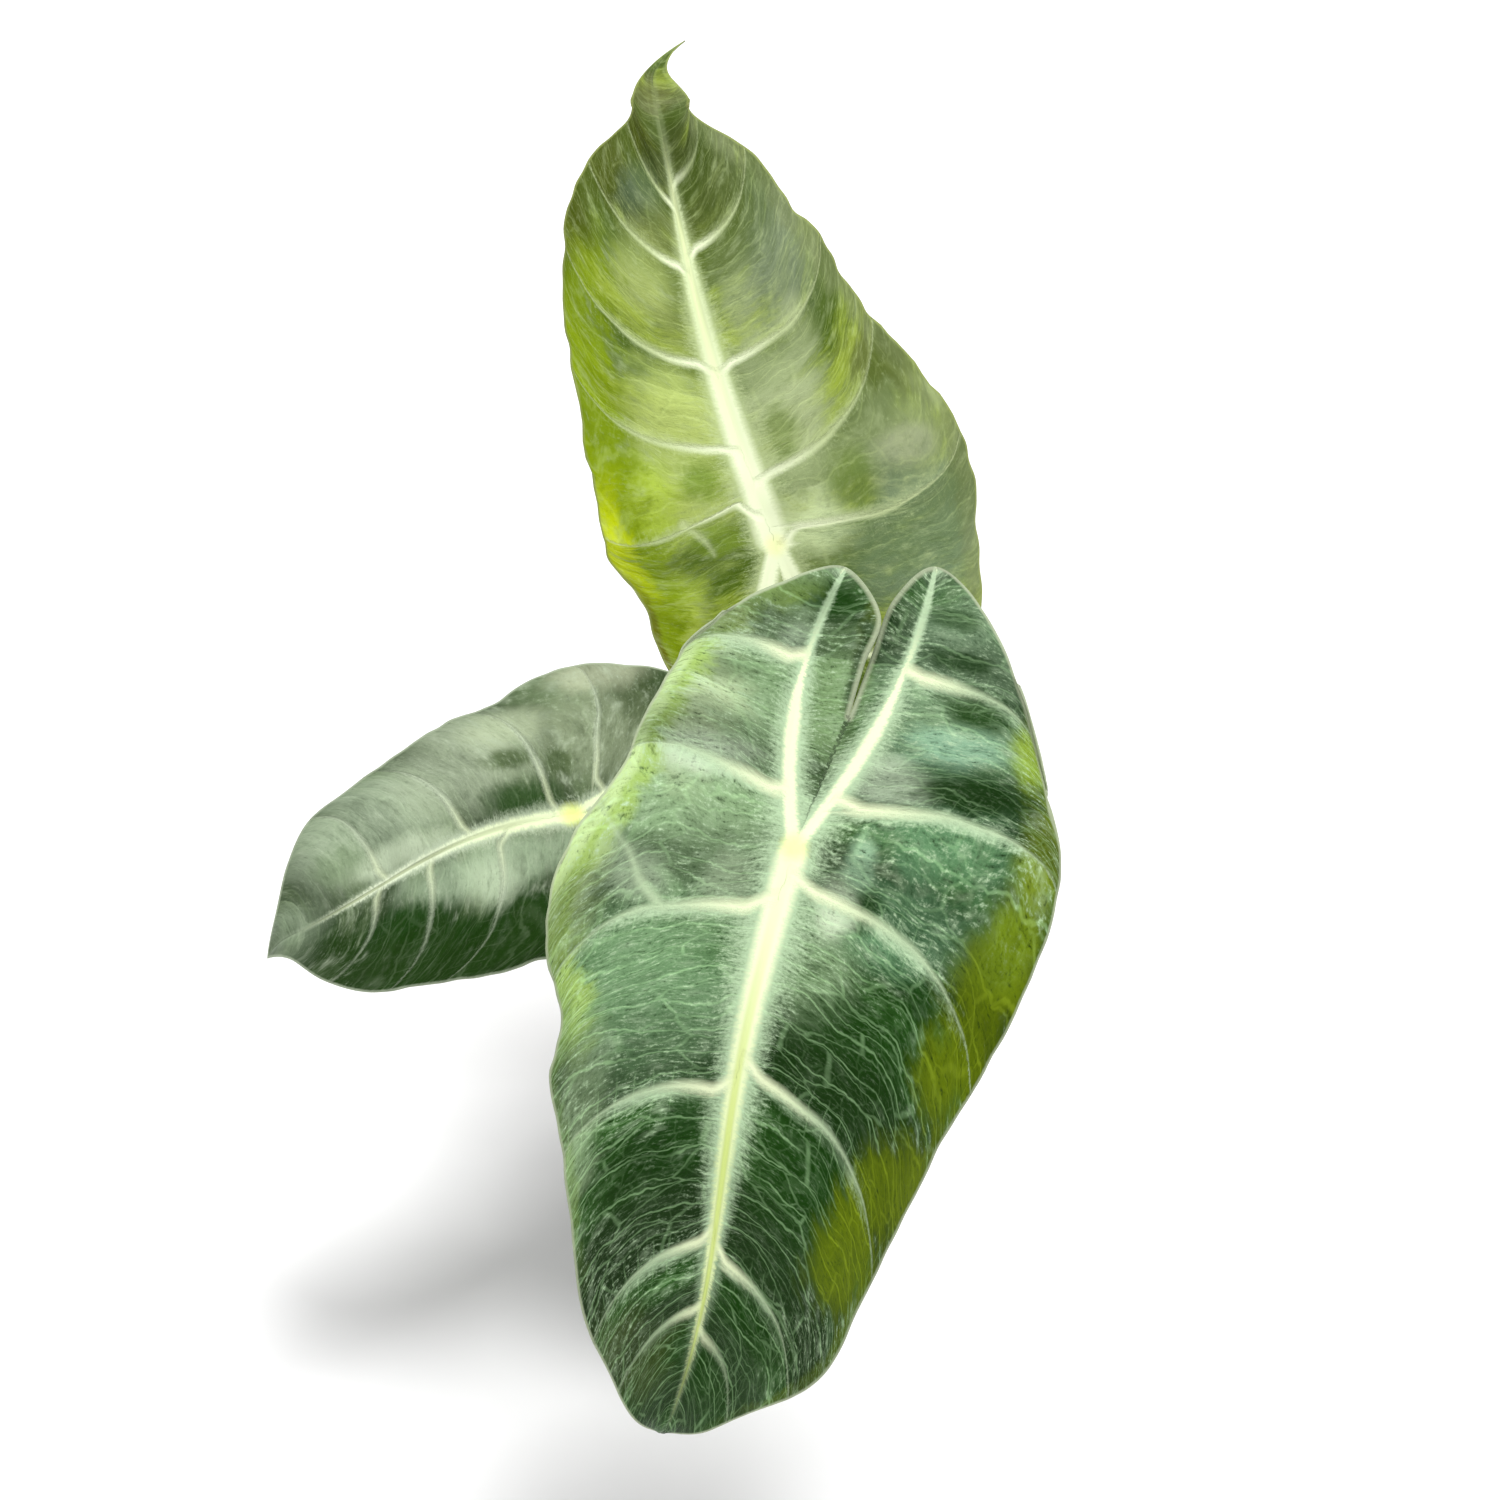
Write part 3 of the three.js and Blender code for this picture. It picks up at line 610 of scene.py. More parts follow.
def blade_face(name, look):
    paint = Paint(name, 0.12, Specular_Tint=(0.8, 1, 0.45, 1))
    step, coat, mix, vector, maths = paint.step, paint.coat, paint.mix, paint.vector, paint.maths
    m = leaf_pattern(paint, look)
    plan = paint.attribute("plan")
    along, sideways, _ = paint.split(plan)
    streaky = (m.fibre - 0.5) * 1.2
    patch = m.patch - 0.5
    ragged = patch * 1.1 + streaky * 0.25 + (m.mottle - 0.5) * 0.9

    # The tissue: painted shade in the dip above each side vein, then soft pools of tissue colour,
    # painted sheen, painted glow and painted shade
    deep = step(m.past, 0.25, 0.85, look.deep)
    tone_and_valley_shade = patch + streaky * 0.3 - deep * 0.27
    paint.ground = mix(step(tone_and_valley_shade, -0.2, 0.14), look.dark, look.mid)
    kinds = (0, 0, 0)
    for x, y, long, wide, strength, colour in look.pools:
        scale = (1 / long, 1 / wide, 1)
        from_centre = vector("MULTIPLY_ADD", plan, scale, (-x / long, -y / wide, 0))
        distance = vector("LENGTH", from_centre, output=1)
        pool = step(distance + ragged, 1.2, 0.35, strength)
        coat(pool, colour)
        kinds = mix(pool, kinds, POOL_KINDS.get(colour, (0, 0, 0)))
    gold, shade, _ = paint.split(kinds)
    # Bands along the margins, of tissue colour and, on some blades, painted sheen, painted glow and
    # painted shade
    for side, colour, low, high, width, strength in look.margins:
        spread = step(along, low, low + 25) * step(along, high, high - 30)
        near = step(m.edge + ragged * (width * 1.3), width, width * 0.4)
        coat(near * spread * step(sideways * side, 2, 9, strength), colour)
    gilt = step(gold, 0.1, 0.7)
    # Painted shade in the hollows, deepest in the dip above each side vein
    hollow = step(deep + streaky * 0.5 + patch, 0.25, 1.1, look.hollow)
    coat(hollow * (1 - gilt * 0.7), look.dark)
    fresh = step(m.share, look.rib_end, look.rib_end - 0.4, 0.6) + 0.4
    frost = (1 - step(shade + gold, 0, 0.6, 0.8)) * fresh
    grain = (m.fuzz - 0.5) * 0.8 + (m.fibre - 0.5) * 1.1
    bright = mix(gilt, look.silver, GILDED)
    coat(step(m.mottle, 0.48, 0.8, look.blotch) * frost, bright)
    coat(step(m.mottle, 0.52, 0.2, look.blotch), look.dark)
    coat(step(grain, 0, 0.4, look.grain) * frost, bright)
    coat(step(grain, 0, -0.4, look.grain), look.dark)

    # Silver that feathers out from the midrib and hangs below each side vein
    glow = look.glow * (1 - m.far) ** 1.3 * (1.15 - m.past * 0.6) + 0.5
    speck = (m.fuzz - 0.5) * 1.1 + streaky * 0.8
    halo = step(step(m.offset - m.rib, glow, 0) + speck, 0.2, 1.1, look.halo)
    below = step(m.lateral, look.glow * 0.5, 0) * m.outer * step(m.across, 1.05, 0.4)
    fluff = step(below * (1 - m.past * 0.5) + speck, 0.25, 1.1, look.fluff) * (1 - shade * 0.85)
    tip_fade = step(m.share, look.rib_end - 0.1, look.rib_end - 0.5, 0.85) + 0.15
    halo = maths("MAXIMUM", halo, fluff) * tip_fade * (1 - shade * 0.3)
    coat(halo, look.silver)
    thread = mix(gilt, look.thread, GILDED_THREAD)
    lines = m.lines * (1 - halo * 0.6) * (step(m.share, -0.3, 0.3, 0.35) + 0.65)
    paint.ground = vector("MULTIPLY_ADD", thread, lines * look.net, paint.ground)

    # The side veins, then the midrib with its thin green line
    vein_width = step(m.across, 0.8, 0, look.vein_width) + 0.4
    vein = step(m.lateral + (m.fuzz - 0.5) * 2.4, vein_width * 1.4, vein_width * 0.2) * m.outer
    vein = vein * (step(m.across, 0.8, 0.1, 0.45) + 0.5)
    vein = vein * step(m.share, look.fade, look.fade - 0.2)
    bent = vector("MULTIPLY_ADD", m.wander, (9, 9, 0), plan)
    for start, end, strength in look.branches:
        vein = maths("MAXIMUM", vein, branch(paint, bent, start, end, m.fuzz) * strength)
    coat(vein * look.vein, mix(step(m.across, 0.05, 0.4), look.cream, look.pale))
    frayed = (m.fibre + m.fuzz - 1) * 2.5
    band = step(m.offset + frayed, m.rib * 1.2 + 0.2, m.rib * 0.6)
    rib_colour = mix(step(m.share, 0.12, 0.5), look.cream, look.rib_low)
    rib_colour = mix(step(m.share, -0.55, -0.85), rib_colour, look.pale)
    coat(band * step(m.far, look.rib_end, look.rib_end - 0.35), rib_colour)
    centre = step(m.offset / m.rib, 0.6, 0.15) * step(m.share, -0.05, 0.45)
    centre = centre * step(m.share, look.rib_end, look.rib_end - 0.3)
    coat(centre * look.centre, look.lime)
    coat(step(vector("LENGTH", plan, output=1) + streaky * 2, 5, 1, 0.7), look.navel)
    rim_width = 1.5 - m.outer * 0.7
    coat(step(m.edge + (m.fibre - 0.5) * 0.6, rim_width, rim_width * 0.4, 0.8), look.rim)
    puckers = maths("SMOOTH_MIN", m.apart, 0.35, 0.2) * 0.7
    tissue = (puckers + m.fibre * 0.35 + m.fuzz * 0.2) * step(m.offset - m.rib, -0.5, 4)
    paint.bump(tissue - vein * 0.4 - centre * 0.3, 0.9 * MM, 0.8)
    return paint.finish(m.fibre * 0.2 + look.gloss)


def blade_back(name, look):
    paint = Paint(name, 0.3)
    step, coat = paint.step, paint.coat
    m = leaf_pattern(paint, look)
    light_patch = step(m.patch + (m.fibre - 0.5) * 0.5, 0.3, 0.7)
    paint.ground = paint.mix(light_patch, look.back, look.back_light)
    coat(m.lines * 0.5, look.back_vein)
    vein = step(m.lateral, 1.7, 0.6, 0.85) * m.outer
    rib = step(m.offset, m.rib + 0.6, m.rib * 0.6)
    coat(paint.maths("MAXIMUM", vein, rib), look.back_vein)
    coat(step(m.edge, 0.9, 0.4, 0.8), look.rim)
    paint.bump(m.lines + m.fibre * 0.4, 0.7 * MM, 0.5)
    return paint.finish(m.fibre * 0.15 + 0.42)


# Colours that several pools have: tissue colours, a teal that is painted sheen, a silver that is partly
# painted sheen and a deep green that is partly painted shade
OLIVE = (0.1, 0.15, 0.0005)
TEAL_SHEEN = (0.13, 0.28, 0.14)
DEEP_GREEN_AND_SHADE = (0.004, 0.036, 0.001)
FRESH = (0.34, 0.5, 0.12)
SILVER_AND_SHEEN = (0.29, 0.43, 0.23)

# An olive pool turns the silver and the threads over it golden, and a pool of deep green and painted
# shade dims them
POOL_KINDS = {OLIVE: (1, 0, 0), DEEP_GREEN_AND_SHADE: (0, 1, 0)}
GILDED = (0.2, 0.25, 0.004)
GILDED_THREAD = (0.1, 0.13, 0.01)

# Each blade's colours, and how strong, wide or long its markings are, with the strength of the painted
# shade above each side vein and in the hollows. A pool is its place along and across the plan, its
# reach along and across, its strength and its colour; pools are patches of tissue colour, painted
# sheen, painted glow and painted shade. A margin is its side of the midrib, its colour, where it starts
# and ends along the midrib, its width and its strength. A branch of a side vein is its start and end on
# the plan and its strength.
FRONT_LOOK = Traits(
    dark=(0.002, 0.017, 0.001), mid=(0.026, 0.088, 0.016), silver=(0.47, 0.63, 0.4),
    thread=(0.15, 0.24, 0.12), cream=(0.88, 0.96, 0.62), pale=(0.5, 0.64, 0.4),
    rib_low=(0.7, 0.8, 0.42), lime=(0.56, 0.68, 0.14), navel=(0.92, 0.96, 0.36), rim=(0.42, 0.48, 0.32),
    back=(0.1, 0.15, 0.07), back_light=(0.17, 0.23, 0.12), back_vein=(0.4, 0.43, 0.22),
    deep=1, hollow=0.5, grain=1, blotch=0.38, net=0.85, glow=15, halo=0.95, fluff=0.9, vein=0.9,
    vein_width=1.5, fade=0.86, rib=3.5, lobe_rib=1.8, rib_end=0.95, centre=0.65, gloss=0.3,
    # Of this blade's pools, the teal ones are painted sheen, the silvery ones partly so, the palest
    # ones on its lobes and round the navel painted highlights, and the deep green and near-black ones
    # painted shade in its creases, at the notch and beside its side veins; the olive and other green
    # pools are tissue colour
    pools=[
        (-25, -30, 62, 42, 0.72, SILVER_AND_SHEEN), (-34, -34, 24, 16, 0.8, (0.5, 0.62, 0.36)),
        (-36, 3, 20, 9, 0.8, (0.2, 0.32, 0.14)), (-52, 8, 14, 3.5, 0.8, (0.12, 0.17, 0.02)),
        (-59, -2, 6, 9, 0.95, DEEP_GREEN_AND_SHADE), (-60, -16, 4, 9, 0.9, DEEP_GREEN_AND_SHADE),
        (-43, 7, 20, 2.5, 0.9, (0.01, 0.03, 0.004)), (50, -44, 9, 8, 0.6, (0.3, 0.46, 0.06)),
        (-55, -15, 10, 12, 0.6, (0.25, 0.36, 0.2)), (40, -30, 30, 32, 0.75, (0.17, 0.31, 0.15)),
        (-45, 34, 30, 26, 0.75, (0.22, 0.34, 0.2)), (-14, 36, 22, 22, 0.7, TEAL_SHEEN),
        (12, 34, 14, 26, 0.8, TEAL_SHEEN), (30, 12, 16, 12, 0.5, SILVER_AND_SHEEN),
        (0, 17, 9, 5, 0.85, (0.36, 0.57, 0.36)), (11, 20, 6, 6, 0.85, DEEP_GREEN_AND_SHADE),
        (-20, 20, 7, 14, 0.9, (0.62, 0.76, 0.54)), (12, 13, 8, 6, 0.85, (0.66, 0.78, 0.55)),
        (-19, -27, 6, 16, 0.8, (0.64, 0.76, 0.56)), (12, -38, 8, 10, 0.85, (0.52, 0.66, 0.44)),
        (30, 42, 7, 9, 0.95, DEEP_GREEN_AND_SHADE), (50, 28, 26, 24, 0.85, DEEP_GREEN_AND_SHADE), (88, 20, 34, 24, 0.9, DEEP_GREEN_AND_SHADE),
        (135, 8, 34, 24, 0.9, DEEP_GREEN_AND_SHADE), (70, -10, 16, 8, 0.6, DEEP_GREEN_AND_SHADE), (90, -22, 20, 22, 0.5, DEEP_GREEN_AND_SHADE),
        (-41, 38, 6, 13, 0.95, DEEP_GREEN_AND_SHADE), (-62, 28, 3, 10, 0.7, DEEP_GREEN_AND_SHADE), (-52, 32, 3, 10, 0.8, DEEP_GREEN_AND_SHADE),
        (-22, 42, 7, 18, 0.95, DEEP_GREEN_AND_SHADE), (-32, 34, 6, 14, 0.8, (0.24, 0.42, 0.28)),
        (-40, -28, 4, 14, 0.6, DEEP_GREEN_AND_SHADE), (-60, -14, 5, 12, 0.6, DEEP_GREEN_AND_SHADE), (-60, -8, 3, 8, 0.6, DEEP_GREEN_AND_SHADE),
        (148, 6, 26, 22, 0.9, DEEP_GREEN_AND_SHADE), (140, -14, 18, 14, 0.6, (0.05, 0.075, 0.018)),
        (75, -40, 28, 8, 0.65, (0.36, 0.5, 0.28)), (52, 20, 20, 14, 0.6, DEEP_GREEN_AND_SHADE),
        (10, -15, 8, 7, 0.8, (0.44, 0.57, 0.36)), (-51, -28, 7, 8, 0.95, (0.68, 0.8, 0.5)),
        (-49, -10, 5, 5, 0.8, (0.48, 0.61, 0.42)), (70, 26, 10, 5, 0.8, DEEP_GREEN_AND_SHADE),
        (-35, 55, 13, 7, 0.85, (0.26, 0.38, 0.03)), (7, -52, 34, 9, 0.85, (0.55, 0.72, 0.33)),
        (-10, 62, 20, 8, 0.8, (0.2, 0.28, 0.02)), (18, 55, 18, 13, 0.95, OLIVE),
        (14, 56, 12, 9, 0.6, (0.17, 0.26, 0.01)), (44, 50, 18, 12, 0.95, OLIVE),
        (78, 40, 18, 11, 0.95, OLIVE), (98, 34, 18, 11, 0.9, OLIVE),
    ],
    margins=[
        (-1, FRESH, -70, 70, 10, 0.9), (-1, (0.2, 0.32, 0.09), 30, 130, 4, 0.5),
        (1, OLIVE, 30, 165, 4, 0.6), (-1, (0.55, 0.72, 0.34), -60, 40, 4, 0.8),
    ],
    branches=[((18, -31), (-3, -49), 0.85)],
)
UPPER_LOOK = Traits(
    dark=(0.055, 0.1, 0.005), mid=(0.31, 0.41, 0.045), silver=(0.52, 0.62, 0.32),
    thread=(0.16, 0.19, 0.08), cream=(0.86, 0.94, 0.64), pale=(0.56, 0.66, 0.34),
    rib_low=(0.66, 0.76, 0.44), lime=(0.88, 0.93, 0.5), navel=(0.9, 0.95, 0.45), rim=(0.28, 0.33, 0.1),
    back=(0.09, 0.085, 0.02), back_light=(0.17, 0.16, 0.05), back_vein=(0.4, 0.42, 0.18),
    deep=1, hollow=0.35, grain=0.28, blotch=0.32, net=0.45, glow=13, halo=0.75, fluff=0.55, vein=1,
    vein_width=1.2, fade=0.8, rib=4.9, lobe_rib=3, rib_end=0.86, centre=0.3, gloss=0.32,
    # On this blade the chartreuse pools on one half are partly its young colour and partly painted glow
    # of light through it, the grey pools on its other half are painted sheen, and the dark pools darken
    # it toward its curled tip
    pools=[
        (34, 22, 34, 20, 0.8, (0.56, 0.68, 0.2)), (38, -12, 34, 17, 0.75, (0.52, 0.61, 0.33)),
        (2, -14, 12, 16, 0.95, (0.74, 0.88, 0.48)), (20, -44, 34, 22, 0.75, (0.27, 0.33, 0.16)),
        (-9, -44, 26, 30, 0.75, (0.19, 0.27, 0.16)), (90, -20, 34, 14, 0.8, (0.2, 0.25, 0.16)),
        (82, -6, 26, 8, 0.6, (0.36, 0.43, 0.24)), (120, -12, 16, 8, 0.8, (0.08, 0.11, 0.06)),
        (45, -50, 15, 6, 0.7, (0.17, 0.2, 0.07)), (49, -43, 12, 12, 0.85, (0.12, 0.15, 0.035)),
        (126, -11, 14, 10, 0.95, (0.04, 0.06, 0.018)), (32, -9, 10, 7, 0.55, (0.12, 0.2, 0.01)),
        (-15, 38, 10, 12, 0.7, (0.5, 0.62, 0.1)), (20, -47, 7, 11, 0.55, (0.4, 0.44, 0.28)),
        (108, 0, 30, 24, 0.85, (0.1, 0.14, 0.03)), (130, 12, 36, 30, 0.95, (0.045, 0.065, 0.012)),
        (118, 15, 11, 9, 0.8, (0.08, 0.12, 0.065)), (150, 4, 9, 12, 0.6, (0.15, 0.16, 0.06)),
        (37, 45, 14, 8, 0.7, (0.11, 0.17, 0.0003)), (23, 19, 9, 9, 0.7, (0.12, 0.22, 0.003)),
        (5, 18, 6, 10, 0.6, (0.16, 0.27, 0.005)), (11, -27, 12, 9, 0.6, (0.12, 0.2, 0.01)),
        (20, 38, 17, 14, 0.75, (0.44, 0.6, 0.05)), (85, 12, 30, 12, 0.5, (0.26, 0.32, 0.1)),
        (90, 22, 18, 10, 0.55, (0.46, 0.55, 0.17)), (84, -36, 16, 8, 0.55, (0.2, 0.26, 0.1)),
        (62, -22, 12, 7, 0.55, (0.48, 0.56, 0.3)), (48, 47, 14, 5, 0.7, (0.46, 0.55, 0.08)),
        (-13, 37, 18, 14, 0.8, (0.42, 0.54, 0.08)),
    ],
    # The brightest chartreuse band is painted glow of light through the blade, the dark band darkens it
    # toward its tip and the grey band on the other half is painted sheen; the rest is tissue colour
    margins=[
        (1, (0.22, 0.32, 0.001), -60, 118, 17, 0.95), (1, (0.055, 0.075, 0.001), 92, 165, 15, 0.9),
        (1, (0.66, 0.78, 0.005), -16, 38, 9, 1), (1, (0.13, 0.12, 0.01), -80, 8, 3, 0.8),
        (-1, (0.2, 0.24, 0.11), -60, 175, 8, 0.6),
    ],
    branches=[((11, 25), (2, 19), 0.6)],
)
LEFT_LOOK = Traits(
    dark=(0.018, 0.036, 0.012), mid=(0.1, 0.145, 0.07), silver=(0.46, 0.54, 0.39),
    thread=(0.1, 0.13, 0.08), cream=(0.7, 0.79, 0.5), pale=(0.5, 0.58, 0.42),
    rib_low=(0.64, 0.72, 0.52), lime=(0.16, 0.2, 0.05), navel=(0.75, 0.85, 0.2), rim=(0.36, 0.42, 0.3),
    back=(0.08, 0.12, 0.06), back_light=(0.15, 0.2, 0.11), back_vein=(0.34, 0.38, 0.2),
    deep=0.75, hollow=0.22, grain=0.4, blotch=0.5, net=0.35, glow=6, halo=0.8, fluff=0.6, vein=0.5,
    vein_width=0.8, fade=0.84, rib=1.9, lobe_rib=1.3, rib_end=0.9, centre=0.5, gloss=0.3,
    # On this blade the pale pools on the half that faces up and beside the midrib are painted sheen,
    # the dark pools near its base on that half are painted shade where the front blade overhangs it,
    # and the deep green pools on the half that bends down are painted shade
    pools=[
        (55, -18, 34, 20, 0.75, (0.33, 0.41, 0.28)), (22, -26, 26, 20, 0.7, (0.33, 0.39, 0.27)),
        (-14, -26, 20, 24, 0.7, (0.24, 0.29, 0.18)), (11, -9, 12, 7, 0.9, DEEP_GREEN_AND_SHADE),
        (11, -22, 8, 4, 0.85, (0.04, 0.07, 0.02)), (-2, -17, 5, 6, 0.8, (0.04, 0.07, 0.02)),
        (-30, -34, 8, 14, 0.7, (0.03, 0.05, 0.015)), (26, 8, 30, 9, 0.8, (0.34, 0.44, 0.29)),
        (27, 13, 9, 10, 0.7, (0.5, 0.61, 0.42)), (8, -33, 13, 8, 0.5, (0.5, 0.58, 0.38)),
        (-20, -44, 20, 8, 0.5, (0.54, 0.58, 0.4)), (48, -5, 20, 5, 0.6, (0.58, 0.68, 0.48)),
        (66, -10, 10, 7, 0.6, (0.17, 0.24, 0.13)), (86, 0, 14, 10, 0.7, (0.2, 0.26, 0.17)),
        (46, 28, 40, 13, 1, DEEP_GREEN_AND_SHADE), (10, 32, 32, 15, 1, DEEP_GREEN_AND_SHADE), (56, 15, 17, 8, 0.95, DEEP_GREEN_AND_SHADE),
    ],
    # Painted shade over the half that bends down
    margins=[
        (1, (0.008, 0.035, 0.002), -60, 100, 20, 0.95),
    ],
    branches=[],
)
LOOKS = {"front": FRONT_LOOK, "upper": UPPER_LOOK, "left": LEFT_LOOK}


# Stalks

def route_points(points, count):
    """Evenly spaced places along the smooth curve through the points, knotted by their spacing."""
    points = np.array(points, float)
    points = np.vstack([2 * points[0] - points[1], points, 2 * points[-1] - points[-2]])
    places = []
    for before, start, end, after in zip(points, points[1:], points[2:], points[3:]):
        first, middle, last = (math.sqrt(np.linalg.norm(b - a)) for a, b in
                               ((before, start), (start, end), (end, after)))
        out = ((start - before) / first - (end - before) / (first + middle)) * middle + end - start
        into = ((after - end) / last - (after - start) / (middle + last)) * middle + end - start
        for t in np.linspace(0, 1, 40, endpoint=False):
            places.append(hermite(start, end, out, into, t))
    places.append(points[-2])
    places = np.array(places)
    lengths = np.concatenate([[0], np.cumsum(np.linalg.norm(np.diff(places, axis=0), axis=1))])
    wanted = np.linspace(0, lengths[-1], count)
    return np.stack([np.interp(wanted, lengths, places[:, axis]) for axis in range(3)], 1)


STALK_RINGS = 120
STALK_SIDES = 40
GROOVE_DEPTH = 0.16
GROOVE_WIDTH = 0.35
SEAT_RISE = 4
SEAT_REACH = 14
SEAT_GAP = 0.05


def stalk(name, leaf, blade_piece, material):
    """A round stalk from the corm to its blade's underside, with a shallow groove above its foot."""
    navel, along, facing, _ = leaf_axes(leaf)
    joint = [navel + along * ahead + facing * up for ahead, up in leaf.stalk.joint]
    end = navel + SEAT_RISE * facing
    route = route_points([*leaf.stalk.base, *joint, navel, end], STALK_RINGS + 1)
    piece = unit_grid(name, STALK_SIDES, STALK_RINGS)
    flat = coordinates(piece)
    ring = np.round(flat[:, 1] * STALK_RINGS).astype(int)
    tangents = np.gradient(route, axis=0)
    tangents /= np.linalg.norm(tangents, axis=1)[:, None]
    outward = np.empty_like(route)
    previous = np.array([route[-1][0], route[-1][1], 0.0])
    for index, tangent in enumerate(tangents):
        previous = previous - tangent * (previous @ tangent)
        previous /= np.linalg.norm(previous)
        outward[index] = previous
    sideways = np.cross(tangents, outward)
    radii = leaf.stalk.radii
    radius = np.interp(flat[:, 1] * (len(radii) - 1), range(len(radii)), radii)
    angle = 2 * math.pi * flat[:, 0]
    groove = GROOVE_DEPTH * np.exp(-((angle - math.pi) / GROOVE_WIDTH) ** 2)
    radius = radius * (1 - groove * smooth_step(flat[:, 1], 0.75, 0.2))
    places = (route[ring] + (radius * np.cos(angle))[:, None] * outward[ring]
              + (radius * np.sin(angle))[:, None] * sideways[ring])
    move_to(piece, places * MM)
    set_attribute(piece, "stalk", np.stack([angle, flat[:, 1], radius], 1))
    merge_doubles(piece)
    mode("EDIT")
    bpy.ops.mesh.select_all(action="DESELECT")
    bpy.ops.mesh.select_mode(type="EDGE")
    bpy.ops.mesh.select_non_manifold()
    bpy.ops.mesh.edge_face_add()
    bpy.ops.mesh.select_all(action="SELECT")
    bpy.ops.mesh.normals_make_consistent(inside=False)
    mode("OBJECT")
    seat_on_blade(piece, leaf, blade_piece)
    piece.data.materials.append(material)
    shade_smooth(piece)
    return piece


def seat_on_blade(piece, leaf, blade_piece):
    """Brings what would pass through the blade down onto its underside."""
    tree = BVHTree.FromPolygons([v.co for v in blade_piece.data.vertices],
                                [tuple(face.vertices) for face in blade_piece.data.polygons])
    navel, _, facing, _ = leaf_axes(leaf)
    facing = Vector(facing)
    navel = Vector(navel) * MM
    for vertex in piece.data.vertices:
        if (vertex.co - navel).length < SEAT_REACH * MM:
            hit, _, _, distance = tree.ray_cast(vertex.co - facing * SEAT_REACH * MM, facing)
            if hit is not None and distance < SEAT_REACH * MM:
                vertex.co = hit - facing * SEAT_GAP * MM


def petiole_material():
    paint = Paint("pink stalk", 0.5, Coat_Weight=0.15, Coat_Roughness=0.3)
    angle, height, _ = paint.split(paint.attribute("stalk"))
    cosine = paint.maths("COSINE", angle)
    sine = paint.maths("SINE", angle)
    grain = paint.noise(paint.combine(cosine, sine, height * 2), 6, 4)
    patch = paint.noise(paint.combine(cosine, sine, height * 30), 1.1, 3, 0.6, 0.8)
    paint.ground = paint.mix(paint.step(height, 0.1, 0.95), (0.72, 0.19, 0.24), (0.78, 0.36, 0.33))
    paint.coat(paint.step(patch, 0.5, 0.72, 0.5), (0.46, 0.07, 0.12))
    paint.coat(paint.step(height, 0.12, 0.02, 0.7), (0.66, 0.6, 0.4))
    paint.coat(paint.step(height, 0.93, 1, 0.6), (0.6, 0.62, 0.3))
    paint.coat(paint.step(grain, 0.55, 0.8, 0.3), (0.9, 0.62, 0.58))
    paint.bump(grain, 0.25 * MM, 0.4)
    return paint.finish(grain * 0.15 + 0.3)


# Pot, soil and corm

POT_HEIGHT = 90
POT_BASE = 36
POT_TOP = 48
POT_WALL = 1.4
POT_FLOOR = 1.8
BAND_BOTTOM = 80
BAND_SLOPE = 0.75
BAND_INSIDE = 2.8
BAND_RADIUS = 49.6
RIM_RADIUS = 50.6
HOLES = 6
HOLE_RADIUS = 4
HOLE_RING = 23
SOIL_TOP = 79
SOIL_GAP = 0.3
SOIL_RINGS = 34
CORM_BOTTOM = 54
CORM_TOP = 79
CORM_RADIUS = 10.5


def pot_radius(z):
    return POT_BASE + (POT_TOP - POT_BASE) * z / POT_HEIGHT


def top_face(piece):
    highest = max(face.center.z for face in piece.data.polygons if abs(face.normal.z) > 0.99)
    select_faces(piece, lambda centre, normal: normal.z > 0.99 and centre.z > highest - 1e-5
                 and math.hypot(centre.x, centre.y) < 1e-4)


def extrude_to(rise, scale):
    bpy.ops.mesh.extrude_region_move(TRANSFORM_OT_translate={"value": (0, 0, rise * MM)})
    bpy.ops.transform.resize(value=(scale, scale, 1))


def pot_piece(material):
    """A cylinder drawn up into the tapered wall, its band and rim, then down inside to the floor."""
    bpy.ops.mesh.primitive_cylinder_add(vertices=128, radius=POT_BASE * MM, depth=BAND_BOTTOM * MM,
                                        location=(0, 0, BAND_BOTTOM / 2 * MM))
    piece = added("nursery_pot")
    top_face(piece)
    radii = [pot_radius(BAND_BOTTOM), BAND_RADIUS, RIM_RADIUS]
    bpy.ops.transform.resize(value=(radii[0] / POT_BASE, radii[0] / POT_BASE, 1))
    extrude_to(BAND_SLOPE, radii[1] / radii[0])
    extrude_to(POT_HEIGHT - BAND_BOTTOM - BAND_SLOPE, radii[2] / radii[1])
    bpy.ops.mesh.inset(thickness=POT_WALL * MM)
    outside = (RIM_RADIUS, BAND_RADIUS, radii[0], pot_radius(POT_FLOOR))
    inside = [radius - POT_WALL for radius in outside]
    extrude_to(BAND_BOTTOM + BAND_INSIDE - POT_HEIGHT, inside[1] / inside[0])
    extrude_to(-BAND_INSIDE, inside[2] / inside[1])
    extrude_to(POT_FLOOR - BAND_BOTTOM, inside[3] / inside[2])
    mode("OBJECT")
    for hole in range(HOLES):
        angle = 2 * math.pi * hole / HOLES
        bpy.ops.mesh.primitive_cylinder_add(
            vertices=32, radius=HOLE_RADIUS * MM, depth=4 * POT_FLOOR * MM,
            location=(HOLE_RING * MM * math.cos(angle), HOLE_RING * MM * math.sin(angle), 0))
        cutter = added("hole")
        apply_modifier(piece, "BOOLEAN", object=cutter, operation="DIFFERENCE", solver="EXACT")
        bpy.data.objects.remove(cutter)
    apply_modifier(piece, "BEVEL", width=0.4 * MM, segments=2, limit_method="ANGLE",
                   angle_limit=math.radians(40))
    activate(piece)
    bpy.ops.object.shade_smooth_by_angle(angle=math.radians(35))
    piece.data.materials.clear()
    piece.data.materials.append(material)
    return piece


